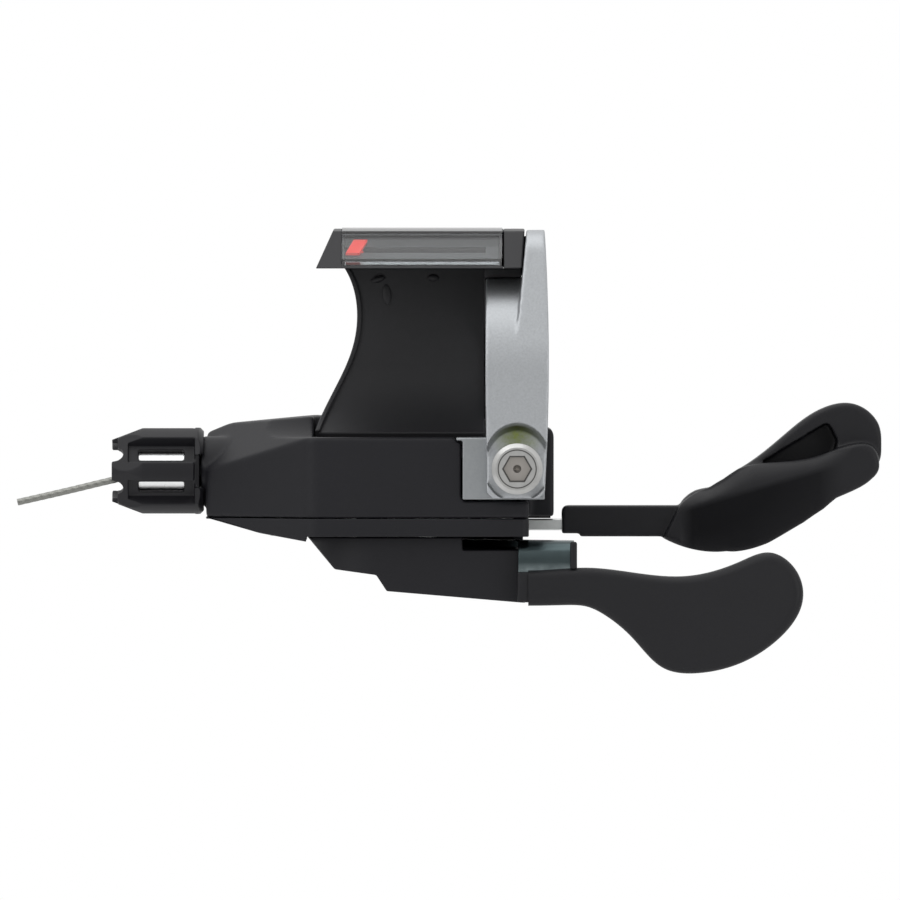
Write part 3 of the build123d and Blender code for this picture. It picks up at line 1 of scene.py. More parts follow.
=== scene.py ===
# %% [markdown]
# A right-hand trigger shifter for a flat handlebar: a clamp band, a black housing with two levers, a gear
# display over the bar, and a barrel adjuster from which the bare inner cable hangs. The solids come from
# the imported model. This file gives them their finish, their camera and their light, one step at a time.

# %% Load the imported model
import json
from collections import namedtuple
from math import cos, pi, radians, sin

import bmesh
import bpy
from mathutils import Matrix, Vector


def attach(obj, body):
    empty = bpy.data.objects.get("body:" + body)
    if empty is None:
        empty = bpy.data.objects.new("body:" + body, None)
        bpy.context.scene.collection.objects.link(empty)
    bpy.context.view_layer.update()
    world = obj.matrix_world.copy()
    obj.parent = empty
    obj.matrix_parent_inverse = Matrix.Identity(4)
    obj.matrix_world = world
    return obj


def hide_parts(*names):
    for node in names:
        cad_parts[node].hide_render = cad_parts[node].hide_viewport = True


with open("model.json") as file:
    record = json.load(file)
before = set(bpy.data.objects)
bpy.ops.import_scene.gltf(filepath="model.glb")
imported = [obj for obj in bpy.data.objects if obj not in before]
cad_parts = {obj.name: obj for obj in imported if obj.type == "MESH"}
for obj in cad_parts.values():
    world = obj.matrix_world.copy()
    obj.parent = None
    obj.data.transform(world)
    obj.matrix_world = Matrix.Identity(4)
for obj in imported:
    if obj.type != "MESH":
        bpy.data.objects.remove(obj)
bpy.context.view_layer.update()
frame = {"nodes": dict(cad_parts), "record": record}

MM = 0.001
scene = bpy.context.scene
scene.view_settings.view_transform = "Standard"

# %% [markdown]
# The photograph is level and taken with a long lens from the rider's side. An orthographic camera would
# keep the outlines too, but it would take the last hint of depth away. So a real long lens stands far
# off.

# %% Camera
CAMERA_AWAY = 4.0
CAMERA_LIFT = radians(0.6)
FRAME_WIDTH = 0.14516
AIM = Vector((-10.8, 0.0, -13.7)) * MM
camera_data = bpy.data.cameras.new("camera")
camera_data.lens = camera_data.sensor_width * CAMERA_AWAY / FRAME_WIDTH
camera = bpy.data.objects.new("camera", camera_data)
scene.collection.objects.link(camera)
backwards = Vector((0, -cos(CAMERA_LIFT), sin(CAMERA_LIFT)))
camera.location = AIM + backwards * CAMERA_AWAY
camera.rotation_euler = (-backwards).to_track_quat("-Z", "Y").to_euler()
scene.camera = camera
print("camera lens", round(camera_data.lens), "mm")

# %% [markdown]
# Shader sums are easier to read as sums. One small class wraps a socket of a shader tree: arithmetic on
# it adds Math nodes, and one method adds any other node, with its settings first and its sockets after
# them.

# %% Shader arithmetic


class Field:
    """A socket of a shader tree that can be used in sums."""

    def __init__(self, tree, socket=None):
        self.tree = tree
        self.socket = socket

    def node(self, kind, settings=None, inputs=None, output=0):
        """Add a node: settings, then socket values or links, and give back one of its outputs."""
        made = self.tree.nodes.new(kind)
        for name, value in (settings or {}).items():
            setattr(made, name, value)
        for name, value in (inputs or {}).items():
            self.feed(made.inputs[name], value)
        return Field(self.tree, made.outputs[output])

    def feed(self, socket, value):
        """Link a field to a socket, or set a plain value on it."""
        if isinstance(value, Field):
            self.tree.links.new(value.socket, socket)
        else:
            socket.default_value = value

    def sum_of(self, operation, first, second):
        """One Math node on two fields or numbers."""
        return self.node("ShaderNodeMath", {"operation": operation}, {0: first, 1: second})

    def __add__(self, other):
        return self.sum_of("ADD", self, other)

    def __radd__(self, other):
        return self.sum_of("ADD", other, self)

    def __sub__(self, other):
        return self.sum_of("SUBTRACT", self, other)

    def __rsub__(self, other):
        return self.sum_of("SUBTRACT", other, self)

    def __mul__(self, other):
        return self.sum_of("MULTIPLY", self, other)

    def __rmul__(self, other):
        return self.sum_of("MULTIPLY", other, self)


print("shader arithmetic is ready")

# %% [markdown]
# Every finish is mixed from the same few ingredients: soft noise, a colour between two others, a step
# along an axis and a bump. Node groups could hold them too, but short functions keep each recipe in plain
# sight.

# %% Ingredients of a finish
# A Mix node lists the sockets of all its kinds, and these are the ones for colours
SHARE, FIRST, SECOND, COLOUR = 0, 6, 7, 2


def noise(here, scale, detail=3.0):
    """Soft random field with about scale features to the metre."""
    return here.node("ShaderNodeTexNoise", None, {"Vector": here, "Scale": scale, "Detail": detail}, "Fac")


def blended(share, first, second):
    """Colour between two others, each a field or three numbers."""
    first, second = (c if isinstance(c, Field) else (*c, 1) for c in (first, second))
    inputs = {SHARE: share, FIRST: first, SECOND: second}
    return share.node("ShaderNodeMix", {"data_type": "RGBA"}, inputs, COLOUR)


def axis_of(here, name):
    """One coordinate of a place."""
    return here.node("ShaderNodeSeparateXYZ", None, {"Vector": here}, name)


def size_of(field):
    """Field without its sign."""
    return field.sum_of("ABSOLUTE", field, 0.0)


def larger(first, second):
    """The larger of two fields."""
    return first.sum_of("MAXIMUM", first, second)


def step_field(field, low, high):
    """0 below low, 1 above high, straight between them."""
    ends = {"Value": field, "From Min": low, "From Max": high}
    return field.node("ShaderNodeMapRange", None, ends, "Result")


def bump(height, depth):
    """Normal of a surface with that height field, depth in metres."""
    relief = {"Strength": 1.0, "Distance": depth, "Height": height}
    return height.node("ShaderNodeBump", None, relief, "Normal")


def new_finish(name, **plain):
    """Material, its shader and its object coordinates. Plain values go straight to the shader's sockets."""
    material = bpy.data.materials.new(name)
    material.use_nodes = True
    shader = material.node_tree.nodes["Principled BSDF"]
    for socket, value in plain.items():
        shader.inputs[socket.replace("_", " ")].default_value = value
    here = Field(material.node_tree).node("ShaderNodeTexCoord", None, None, "Object")
    return material, shader, here


print("ingredients are ready")

# %% [markdown]
# The covers and levers are glass-filled nylon from a spark-eroded mould: nearly black, with a fine even
# grain that spreads highlights. A smooth black would look like lacquer, so a fine noise drives bump and
# roughness, and a slow one changes the tone a little, as the skin of such a moulding does.

# %% Moulded finishes
TONE_SCALE = 70
TONE_SPREAD = 0.15
GRAIN_DETAIL = 2.0
GLOSS_SPREAD = 0.06


def moulded(name, shade, roughness, grain_scale, grain_depth, specular):
    """Moulding with a fine eroded grain and a slow change of tone."""
    material, shader, here = new_finish(name, Specular_IOR_Level=specular)
    tone = noise(here, TONE_SCALE)
    grain = noise(here, grain_scale, GRAIN_DETAIL)
    low = [c * (1 - TONE_SPREAD) for c in shade]
    high = [c * (1 + TONE_SPREAD) for c in shade]
    here.feed(shader.inputs["Base Color"], blended(tone, low, high))
    here.feed(shader.inputs["Roughness"], roughness - GLOSS_SPREAD + grain * (2 * GLOSS_SPREAD))
    here.feed(shader.inputs["Normal"], bump(grain, grain_depth))
    return material


# Shade, roughness, grains to the metre, depth of the grain and specular level
MOULDINGS = {
    "cover_black": ((0.0078, 0.0078, 0.0102), 0.52, 5200, 0.012 * MM, 0.26),
    "lever_black": ((0.0080, 0.0080, 0.0098), 0.48, 6400, 0.010 * MM, 0.27),
    "paddle_black": ((0.0080, 0.0080, 0.0098), 0.48, 6400, 0.010 * MM, 0.27),
    "knob_black": ((0.0080, 0.0078, 0.0100), 0.42, 5200, 0.009 * MM, 0.30),
    "display_black": ((0.0140, 0.0138, 0.0160), 0.38, 6000, 0.008 * MM, 0.36),
    # The display's wall is lighter than the covers: painted light that lifts the shade under the display
    "stem_lifted_black": ((0.0185, 0.0185, 0.0205), 0.56, 5200, 0.012 * MM, 0.36),
}
FINISH = {name: moulded(name, *look) for name, look in MOULDINGS.items()}
print("moulded finishes:", ", ".join(FINISH))

# %% [markdown]
# The finger paddle has a rough grip on its front wall, below a soft crest that rises towards the tip, and
# the grip is made darker as painted shade. It could be a piece of its own, but the real grip is only a
# texture of the same mould. So it is a second shader, and a mask of four soft steps says where it lies:
# below the crest, in front, and between two ends.

# %% Grip and painted shade of the finger paddle
# The grip's darker base colour is painted shade on the paddle's front wall
SHADED_GRIP_LOOK = {"Base Color": (0.0045, 0.0045, 0.0055, 1), "Roughness": 0.72, "Specular IOR Level": 0.12}
SHADED_GRIP_SLOPE = 0.29
SHADED_GRIP_LINE = -31.4 * MM
SHADED_GRIP_LINE_SOFT = 0.5 * MM
SHADED_GRIP_BACK = 19.0 * MM
SHADED_GRIP_LEFT = 26.5 * MM
SHADED_GRIP_RIGHT = 51.0 * MM
SHADED_GRIP_FADE = 2.0 * MM


def add_shaded_grip(material):
    """Lay a rough grip, darker as painted shade, over a moulding, on the front wall of the finger paddle
    alone.
    """
    tree = material.node_tree
    start = Field(tree)
    plain = Field(tree, tree.nodes["Principled BSDF"].outputs[0])
    shaded_grip = start.node("ShaderNodeBsdfPrincipled", None, SHADED_GRIP_LOOK)
    here = start.node("ShaderNodeTexCoord", None, None, "Object")
    across, depth, up = (axis_of(here, axis) for axis in "XYZ")
    below = 1 - step_field(up - across * SHADED_GRIP_SLOPE, SHADED_GRIP_LINE - SHADED_GRIP_LINE_SOFT, SHADED_GRIP_LINE + SHADED_GRIP_LINE_SOFT)
    front = 1 - step_field(depth, SHADED_GRIP_BACK - SHADED_GRIP_FADE, SHADED_GRIP_BACK)
    inner = step_field(across, SHADED_GRIP_LEFT, SHADED_GRIP_LEFT + SHADED_GRIP_FADE)
    outer = 1 - step_field(across, SHADED_GRIP_RIGHT - SHADED_GRIP_FADE, SHADED_GRIP_RIGHT + SHADED_GRIP_FADE)
    mask = below * front * inner * outer
    both = start.node("ShaderNodeMixShader", None, {0: mask, 1: plain, 2: shaded_grip})
    start.feed(tree.nodes["Material Output"].inputs["Surface"], both)


add_shaded_grip(FINISH["paddle_black"])
print("paddle finish:", len(FINISH["paddle_black"].node_tree.nodes), "nodes")

# %% [markdown]
# Metals share another recipe: one fine grain drives the colour, the roughness and the bump. A metal's colour
# is its reflection, so it needs no slow change of tone. A mask can then lay a second colour over the first
# one, which is how painted shade, painted highlights, a green tint and a second tone come in without a
# second material.

# %% Grained finishes
METAL_SPREAD = 0.05
Grained = namedtuple("Grained", "material shader colour here")


def grained(name, shade, roughness, grain_scale, grain_depth, metallic=1.0, spread=0.08):
    """Finish with a fine grain, kept with its shader, colour and coordinates so that it can be tinted."""
    material, shader, here = new_finish(name, Metallic=metallic)
    grain = noise(here, grain_scale)
    low = [c * (1 - spread) for c in shade]
    high = [min(1.0, c * (1 + spread)) for c in shade]
    colour = blended(grain, low, high)
    here.feed(shader.inputs["Base Color"], colour)
    here.feed(shader.inputs["Roughness"], roughness - METAL_SPREAD + grain * (2 * METAL_SPREAD))
    here.feed(shader.inputs["Normal"], bump(grain, grain_depth))
    return Grained(material, shader, colour, here)


def near(here, place, reach):
    """1 at a place, falling to 0 at reach from it."""
    gap = here.node("ShaderNodeVectorMath", {"operation": "DISTANCE"}, {0: here, 1: place}, "Value")
    return 1 - step_field(gap, 0.0, reach)


def tinted(made, mask, tint):
    """Lay a colour over a finish where a mask says so."""
    mixed = blended(mask, made.colour, tint)
    made.here.feed(made.shader.inputs["Base Color"], mixed)
    return made._replace(colour=mixed)


print("grained finishes are ready")

# %% [markdown]
# The band is cast and bead-blasted: a light satin metal with a fine sparkle. The relief over its screw is
# painted dark, as painted shadow in its hollow, and a patchy green tint lies round the screw's head. Both
# are tints round a point, held back behind the leg's front face so that the face itself stays clean.

# %% Band
LEG_FACE = -13.0 * MM
SUNK_FROM = LEG_FACE + 0.1 * MM
SUNK_TO = LEG_FACE + 0.6 * MM
SPOT_REACH = 4.2 * MM
SPOT_BROW = (0.0, -12.2 * MM, -9.4 * MM)
SPOT_FACE = (0.0, -10.9 * MM, -11.6 * MM)
# Painted shadow over the relief above the screw
BROW_SHADOW = (0.070, 0.072, 0.066)
BROW_SHADOW_STRENGTH = 1.1
# A patchy green tint round the screw's head
PATCH_GREEN = (0.20, 0.25, 0.02)
GREEN_PATCH_SCALE = 1400
GREEN_PATCH_STRENGTH = 1.3
band = grained("band_alloy", (0.42, 0.435, 0.45), 0.50, 3000, 0.030 * MM, metallic=0.92, spread=0.16)
sunk = step_field(axis_of(band.here, "Y"), SUNK_FROM, SUNK_TO)
band = tinted(band, near(band.here, SPOT_BROW, SPOT_REACH) * sunk * BROW_SHADOW_STRENGTH, BROW_SHADOW)
patchy = noise(band.here, GREEN_PATCH_SCALE) * GREEN_PATCH_STRENGTH
band = tinted(band, near(band.here, SPOT_FACE, SPOT_REACH) * patchy * sunk, PATCH_GREEN)
FINISH["band_alloy"] = band.material
print("band finish:", len(band.material.node_tree.nodes), "nodes")

# %% [markdown]
# Painted shade marks the screw's socket with thin dark lines, along the hexagon's edge and round the shallow
# dish, and darkens the inside of the hexagon to a brown. A groove could catch the same shadow, but painted
# shade has no depth, so the lines are colour alone. Both come from the distance to the screw's axis,
# measured once as a hexagon does and once as a circle does.

# %% Screw
SCREW_DROP = 16.6 * MM
SOCKET_REACH = 2.0 * MM
DISH_REACH = 3.05 * MM
EDGE_LINE = (0.08 * MM, 0.16 * MM)
DISH_LINE = (0.064 * MM, 0.128 * MM)
# Painted shade: brown inside the hexagon, dark in thin lines
SOCKET_SHADE_BROWN = (0.42, 0.385, 0.35)
SOCKET_SHADE_STRENGTH = 0.75
LINE_SHADE = (0.045, 0.043, 0.04)
LINE_SHADE_STRENGTH = 0.85


def socket_shade_marks(here):
    """Painted shade lines round the hexagon and the dish, and the painted shade inside the hexagon."""
    across = axis_of(here, "X")
    up = axis_of(here, "Z") + SCREW_DROP
    slant = across * cos(radians(30))
    rise = up * sin(radians(30))
    hexagon = larger(size_of(up), larger(size_of(slant + rise), size_of(slant - rise)))
    square = across * across + up * up
    radius = square.sum_of("POWER", square, 0.5)
    edge = 1 - step_field(size_of(hexagon - SOCKET_REACH), *EDGE_LINE)
    ring = 1 - step_field(size_of(radius - DISH_REACH), *DISH_LINE)
    inside = 1 - step_field(hexagon, SOCKET_REACH - EDGE_LINE[1], SOCKET_REACH)
    return larger(edge, ring), inside


screw = grained("bolt_steel", (0.52, 0.52, 0.51), 0.32, 1500, 0.006 * MM)
shade_lines, inside = socket_shade_marks(screw.here)
screw = tinted(screw, inside * SOCKET_SHADE_STRENGTH, SOCKET_SHADE_BROWN)
screw = tinted(screw, shade_lines * LINE_SHADE_STRENGTH, LINE_SHADE)
FINISH["bolt_steel"] = screw.material
print("screw finish:", len(screw.material.node_tree.nodes), "nodes")

# %% [markdown]
# The other metals are plainer: plated, dark chromed or left as cut. The chrome's foot is painted lighter, a
# painted highlight, and the adjuster's core is painted black where it enters the housing, as painted shadow
# in the gap by the knob's end. Both are tints again, along one axis.

# %% Steel, chrome and silver
CHROME_FOOT = -32.9 * MM
CHROME_RISE = 1.2 * MM
# Painted highlight along the chrome's foot, in patches
CHROME_HIGHLIGHT = (0.34, 0.40, 0.41)
HIGHLIGHT_PATCH_SCALE = 700
# Painted shadow on the adjuster's core where it enters the housing
GAP_SHADOW_FROM = -51.9 * MM
GAP_SHADOW_SOFT = 0.2 * MM
GAP_SHADOW_BLACK = (0.010, 0.010, 0.011)

# Shade, roughness, grains to the metre and depth of the grain
METALS = {
    "bracket_alloy": ((0.33, 0.345, 0.355), 0.44, 2200, 0.014 * MM),
    "plate_steel": ((0.68, 0.70, 0.69), 0.34, 1200, 0.006 * MM),
    "hard_steel": ((0.60, 0.61, 0.59), 0.30, 1400, 0.005 * MM),
    "spring_steel": ((0.36, 0.36, 0.37), 0.28, 1600, 0.004 * MM),
    "cable_steel": ((0.24, 0.242, 0.225), 0.38, 2400, 0.006 * MM),
}
for name, look in METALS.items():
    FINISH[name] = grained(name, *look).material
chrome = grained("dark_chrome", (0.068, 0.090, 0.094), 0.22, 900, 0.006 * MM)
foot = 1 - step_field(axis_of(chrome.here, "Z"), CHROME_FOOT, CHROME_FOOT + CHROME_RISE)
highlight_patches = noise(chrome.here, HIGHLIGHT_PATCH_SCALE, GRAIN_DETAIL)
FINISH["dark_chrome"] = tinted(chrome, foot * highlight_patches, CHROME_HIGHLIGHT).material
core = grained("adjuster_silver", (0.86, 0.87, 0.87), 0.30, 1800, 0.0006 * MM)
gap_shadow = step_field(axis_of(core.here, "X"), GAP_SHADOW_FROM, GAP_SHADOW_FROM + GAP_SHADOW_SOFT)
FINISH["adjuster_silver"] = tinted(core, gap_shadow, GAP_SHADOW_BLACK).material
print("finishes so far:", len(FINISH))

# %% [markdown]
# The display is a few small plastics: a two-tone grey dial, a lighter grey tray and a red flag. The hidden
# spool is white nylon. The dial's two tones could be two materials, but one step along its height keeps
# their border sharp. A weak emission makes the flag glow, which is painted light.

# %% Display and spool finishes
DIAL_SPLIT = 18.85 * MM
DIAL_SOFT = 0.1 * MM
DIAL_DARK = (0.052, 0.054, 0.058)
# Painted light: a weak emission that makes the flag glow
FLAG_PAINTED_GLOW = {"Emission Color": (0.90, 0.030, 0.020, 1), "Emission Strength": 0.30}
dial = grained("dial_grey", (0.090, 0.095, 0.101), 0.55, 4000, 0.006 * MM, metallic=0.0)
upper = step_field(axis_of(dial.here, "Z"), DIAL_SPLIT - DIAL_SOFT, DIAL_SPLIT + DIAL_SOFT)
FINISH["dial_grey"] = tinted(dial, upper, DIAL_DARK).material

# Shade, roughness, grains to the metre, depth of the grain and specular level
PLASTICS = {
    # Inside of the tray: lighter, as painted light in the cavity's shade
    "tray_grey": ((0.185, 0.192, 0.200), 0.60, 4000, 0.006 * MM, 0.36),
    "needle_red": ((0.90, 0.040, 0.025), 0.42, 3600, 0.005 * MM, 0.30),
    "spool_nylon": ((0.62, 0.62, 0.58), 0.45, 3000, 0.008 * MM, 0.45),
}
for name, look in PLASTICS.items():
    FINISH[name] = moulded(name, *look)
for socket, value in FLAG_PAINTED_GLOW.items():
    FINISH["needle_red"].node_tree.nodes["Principled BSDF"].inputs[socket].default_value = value
print("display finishes:", ", ".join(["dial_grey", *PLASTICS]))

# %% [markdown]
# The pane over the dial is a real solid with two faces, so plain transmission bends light as the real pane
# does. Its foot and its brow are painted dark, as painted shade where they sit against the dark tray. A step
# at each end gives that.

# %% Clear pane
PANE_FOOT = 16.85 * MM
PANE_FOOT_SOFT = 0.15 * MM
PANE_BROW = 21.0 * MM
PANE_BROW_SOFT = 0.3 * MM
PANE_CLEAR = (0.96, 0.98, 0.985)
# Painted shade on the pane's foot and brow
PANE_SHADE = (0.05, 0.055, 0.06)
WAVE_SCALE = 160


def clear_pane():
    """Clear moulded pane with the faintest waviness, with painted shade along its foot and its brow."""
    material, shader, here = new_finish("lens_clear", Transmission_Weight=1.0, IOR=1.46)
    wave = noise(here, WAVE_SCALE, 1)
    height = axis_of(here, "Z")
    foot = 1 - step_field(height, PANE_FOOT - PANE_FOOT_SOFT, PANE_FOOT)
    brow = step_field(height, PANE_BROW, PANE_BROW + PANE_BROW_SOFT)
    here.feed(shader.inputs["Roughness"], 0.02 + wave * 0.03)
    here.feed(shader.inputs["Base Color"], blended(foot + brow, PANE_CLEAR, PANE_SHADE))
    return material


FINISH["lens_clear"] = clear_pane()
print("finishes in all:", len(FINISH))

# %% [markdown]
# Every solid gets the finish of its slot in the record. Two mouldings have a finish of their own within
# their slot: the display's wall is a duller black, made lighter as painted light in the shade under the
# display, and the paddle carries the grip with its painted shade.

# %% Finish every solid
SLOT_OF = {part["node"]: part["material_slot"] for part in frame["record"]["subparts"]}
BODY_OF = {node: body for body, nodes in frame["record"]["behaviour"]["bodies"].items() for node in nodes}
OWN_FINISH = {"indicator_stem": "stem_lifted_black", "release_pad": "paddle_black"}
for node, solid in frame["nodes"].items():
    solid.data.materials.clear()
    solid.data.materials.append(FINISH[OWN_FINISH.get(node, SLOT_OF[node])])
print("finished", len(SLOT_OF), "solids")

# %% [markdown]
# A solid can't be changed, but a piece can stand for it: a copy that rides on the same body, in the same
# slot. A solid's mesh is loose triangles, so the copy is merged and its flats are dissolved before
# anything else is done to it.

# %% Copies that stand for solids
MERGE = 0.004 * MM
FLAT = radians(0.6)
CORNER = radians(28)


def merged_copy(node, name):
    """Object with the node's mesh, its loose triangles joined and its flats dissolved."""
    mesh = frame["nodes"][node].data.copy()
    mesh.name = name
    if "custom_normal" in mesh.attributes:
        mesh.attributes.remove(mesh.attributes["custom_normal"])
    work = bmesh.new()
    work.from_mesh(mesh)
    bmesh.ops.remove_doubles(work, verts=work.verts, dist=MERGE)
    bmesh.ops.dissolve_limit(work, angle_limit=FLAT, verts=work.verts, edges=work.edges)
    for face in work.faces:
        face.smooth = True
    for edge in work.edges:
        edge.smooth = edge.calc_face_angle(0) < CORNER
    work.to_mesh(mesh)
    work.free()
    piece = bpy.data.objects.new(name, mesh)
    scene.collection.objects.link(piece)
    return piece


def applied(piece):
    """Turn the modified shape of a piece into its plain mesh."""
    graph = bpy.context.evaluated_depsgraph_get()
    plain = bpy.data.meshes.new_from_object(piece.evaluated_get(graph), depsgraph=graph)
    piece.modifiers.clear()
    piece.data = plain
    return piece


def stand_in(piece, node):
    """Let a piece ride where a node rides, and stand for it."""
    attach(piece, BODY_OF[node])
    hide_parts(node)
    return piece


print("copies can stand for solids")

# %% [markdown]
# A corner without a radius looks drawn: on the real thing it is the small radius that catches the light.
# The visible mouldings and sheets get theirs from a bevel, which follows every true edge of the merged
# copy by itself.

# %% Soften the visible edges
# Width of the bevel in millimetres
EDGE_WIDTH = {"lower_cover": 0.18, "bottom_cover": 0.22, "indicator_stem": 0.18, "indicator_tray": 0.14,
              "indicator_end_cap": 0.25, "base_bracket": 0.20, "thumb_plate": 0.12, "release_plate": 0.15}


def softened(node, width):
    """Bevelled copy of a node that stands for it."""
    piece = merged_copy(node, node + "_skin")
    bevel = piece.modifiers.new("edge", "BEVEL")
    bevel.width = width
    bevel.segments = 2
    bevel.limit_method = "ANGLE"
    bevel.angle_limit = CORNER
    bevel.use_clamp_overlap = False
    bevel.miter_outer = "MITER_ARC"
    even = piece.modifiers.new("even", "WEIGHTED_NORMAL")
    even.keep_sharp = True
    return stand_in(applied(piece), node)


for node, width in EDGE_WIDTH.items():
    made = softened(node, width * MM)
    print("softened", made.name, len(made.data.polygons), "faces")

# %% [markdown]
# The paddle, the knob and the upper cover are thick mouldings and the band is a casting, all with soft
# edges. A bevel needs clean corners, which blended walls, pockets and crowned sides don't give. A voxel
# remesh turns the solid into one even skin instead, and a few rounds of smoothing melt its edges as a
# real mould's do.

# %% Melted skins
# Voxel in millimetres and rounds of smoothing
MELTED = {"release_pad": (0.24, 7), "clamp_band": (0.22, 6), "adjuster_knob": (0.14, 5),
          "upper_cover": (0.34, 7)}


def melted(node, voxel, rounds):
    """Remeshed and smoothed copy of a node that stands for it."""
    piece = merged_copy(node, node + "_skin")
    skin = piece.modifiers.new("skin", "REMESH")
    skin.mode = "VOXEL"
    skin.voxel_size = voxel
    skin.use_smooth_shade = True
    soft = piece.modifiers.new("soft", "SMOOTH")
    soft.factor = 0.5
    soft.iterations = rounds
    return stand_in(applied(piece), node)


for node, (voxel, rounds) in MELTED.items():
    skin = melted(node, voxel * MM, rounds)
    print("melted", skin.name, len(skin.data.polygons), "faces")

# %% [markdown]
# The paddle's front wall isn't flat: below a soft crest it leans back towards its foot, and above the crest
# a ledge slopes away to the pocket. The skin has points enough to be shaped one by one. So each point of the
# wall moves back by an amount that depends on how high it lies between the wall's foot and its top.

# %% Shape of the paddle's front wall
# In millimetres, apart from the crest, which is a share of the wall's height
WALL_ALONG = (26.5, 29.3, 38.3, 49.3, 57.3)
WALL_TOP = (-22.7, -20.3, -16.3, -14.7, -13.5)
WALL_FOOT = (-28.4, -29.6, -30.1, -24.6, -17.0)
WALL_START_FADE = 3.0
WALL_END = 54.0
WALL_END_FADE = 6.0
WALL_FRONT = 16.2
WALL_DEPTH = 4.2
CREST = 0.72
LEDGE_SLOPE = 2.3
FOOT_SLOPE = 1.3


def held(share):
    """Number kept between 0 and 1."""
    return min(max(share, 0.0), 1.0)


def between(places, values, place):
    """Value at a place, straight between the given ones."""
    for left, right, low, high in zip(places, places[1:], values, values[1:]):
        if place <= right:
            return low + (high - low) * max(0.0, (place - left) / (right - left))
    return values[-1]


def shape_wall(piece):
    """Lean the front wall of the paddle back below and above its crest, and count the points of the wall."""
    wall_points = 0
    for point in piece.data.vertices:
        x, y, z = (value / MM for value in point.co)
        if x < WALL_ALONG[0]:
            continue
        foot = between(WALL_ALONG, WALL_FOOT, x)
        height = (z - foot) / (between(WALL_ALONG, WALL_TOP, x) - foot)
        front = 1 - held((y - WALL_FRONT) / WALL_DEPTH)
        along = min(held((x - WALL_ALONG[0]) / WALL_START_FADE), held((WALL_END - x) / WALL_END_FADE))
        above = held((height - CREST) / (1 - CREST))
        below = held((CREST - height) / CREST)
        point.co.y += (LEDGE_SLOPE * above * above + FOOT_SLOPE * below * below) * front * along * MM
        if front * along > 0:
            wall_points += 1
    return wall_points


print("points of the wall:", shape_wall(bpy.data.objects["release_pad_skin"]))

# %% [markdown]
# The paddle's outline is a hand-shaped curve. Its foot is fuller than the design's, its brow a little
# lower and its tip a little blunter, by about a millimetre at most. A new outline in the design would
# need all its blends again, while a move of the skin simply fades out over a few millimetres.

# %% Outline of the paddle
# In millimetres: where along the outline, where the outline lies there, and how far it moves
FOOT_ALONG = (34.0, 35.2, 40.8, 46.5, 49.7, 51.8)
FOOT_LINE = (-30.1, -30.0, -27.2, -24.0, -22.4, -21.3)
FOOT_DROP = (0.0, 0.25, 1.05, 1.2, 0.8, 0.0)
BROW_ALONG = (27.0, 29.0, 31.2, 33.5, 36.0)
BROW_LINE = (-22.6, -20.5, -18.9, -17.9, -16.9)
BROW_DROP = (0.0, 0.3, 0.9, 0.7, 0.0)
TIP_UP = (-18.6, -16.9, -14.5, -9.7, -7.3, -5.8)
TIP_REACH = (0.0, 0.45, 0.65, 0.65, 0.3, 0.0)
TIP_FROM = 52.0
TIP_END = 59.17
FADE = 4.0
TINY = 1e-6


def faded(distance):
    """1 at no distance, falling smoothly to 0 at the fade's width."""
    share = held(1 - distance / FADE)
    return share * share * (3 - 2 * share)


def nudge_outline(piece):
    """Move the foot, the brow and the tip of the paddle's skin. The tip never passes its end."""
    for point in piece.data.vertices:
        x = point.co.x / MM
        z = point.co.z / MM
        drop = between(FOOT_ALONG, FOOT_DROP, x) * faded(z - between(FOOT_ALONG, FOOT_LINE, x))
        drop += between(BROW_ALONG, BROW_DROP, x) * faded(between(BROW_ALONG, BROW_LINE, x) - z)
        reach = between(TIP_UP, TIP_REACH, z) * held((x - TIP_FROM) / FADE)
        room = max(TIP_END - x, 0.0)
        point.co.z -= drop * MM
        point.co.x += reach * room / (reach + room + TINY) * MM


paddle = bpy.data.objects["release_pad_skin"]
nudge_outline(paddle)
print("paddle reaches", round(max(point.co.x for point in paddle.data.vertices) / MM, 2), "mm outboard")

# %% [markdown]
# In the design the knob's end rings are round, while the real ones follow the soft hexagon of its lobes.
# Each point of the skin is held inside six flats that taper to the cable end, which a cut would do with a
# harder edge. The silver core behind the windows is a hair thinner than its bore, so that the two skins
# never cross.

# %% Knob and its core
KNOB_AXIS = Vector((0, 13.5, -17.2)) * MM
CORE_REACH = 4.0 * MM
CORE_SLIM = 0.12 * MM
FLATS = 6
# In millimetres: where along the knob, and how far from its axis a flat lies there
FLAT_ALONG = (-65.5, -60.3, -50.6)
FLAT_REACH = (5.0, 6.98, 6.98)


def hold_in_flats(piece):
    """Keep a round skin inside its flats, and count the moves."""
    turns = [2 * pi * k / FLATS + pi / 2 for k in range(FLATS)]
    ways = [Vector((0, cos(turn), sin(turn))) for turn in turns]
    moves = 0
    for point in piece.data.vertices:
        reach = between(FLAT_ALONG, FLAT_REACH, point.co.x / MM) * MM
        for way in ways:
            over = (point.co - KNOB_AXIS).dot(way) - reach
            if over > 0:
                point.co -= way * over
                moves += 1
    return moves


def slimmed(node):
    """Copy of a round node, a hair thinner, that stands for it."""
    piece = merged_copy(node, node + "_skin")
    for point in piece.data.vertices:
        spoke = point.co - KNOB_AXIS
        spoke.x = 0
        if spoke.length > CORE_REACH:
            point.co -= spoke.normalized() * CORE_SLIM
    return stand_in(piece, node)


print("moves on the knob:", hold_in_flats(bpy.data.objects["adjuster_knob_skin"]))
print("slimmed", slimmed("adjuster_bolt").name)

# %% [markdown]
# A few mouldings are too small to carve from a skin, and too few and too different for a node tree. They
# are made of flattened beads and rounded blocks, each given by its middle and its half sizes in
# millimetres.

# %% Beads and blocks


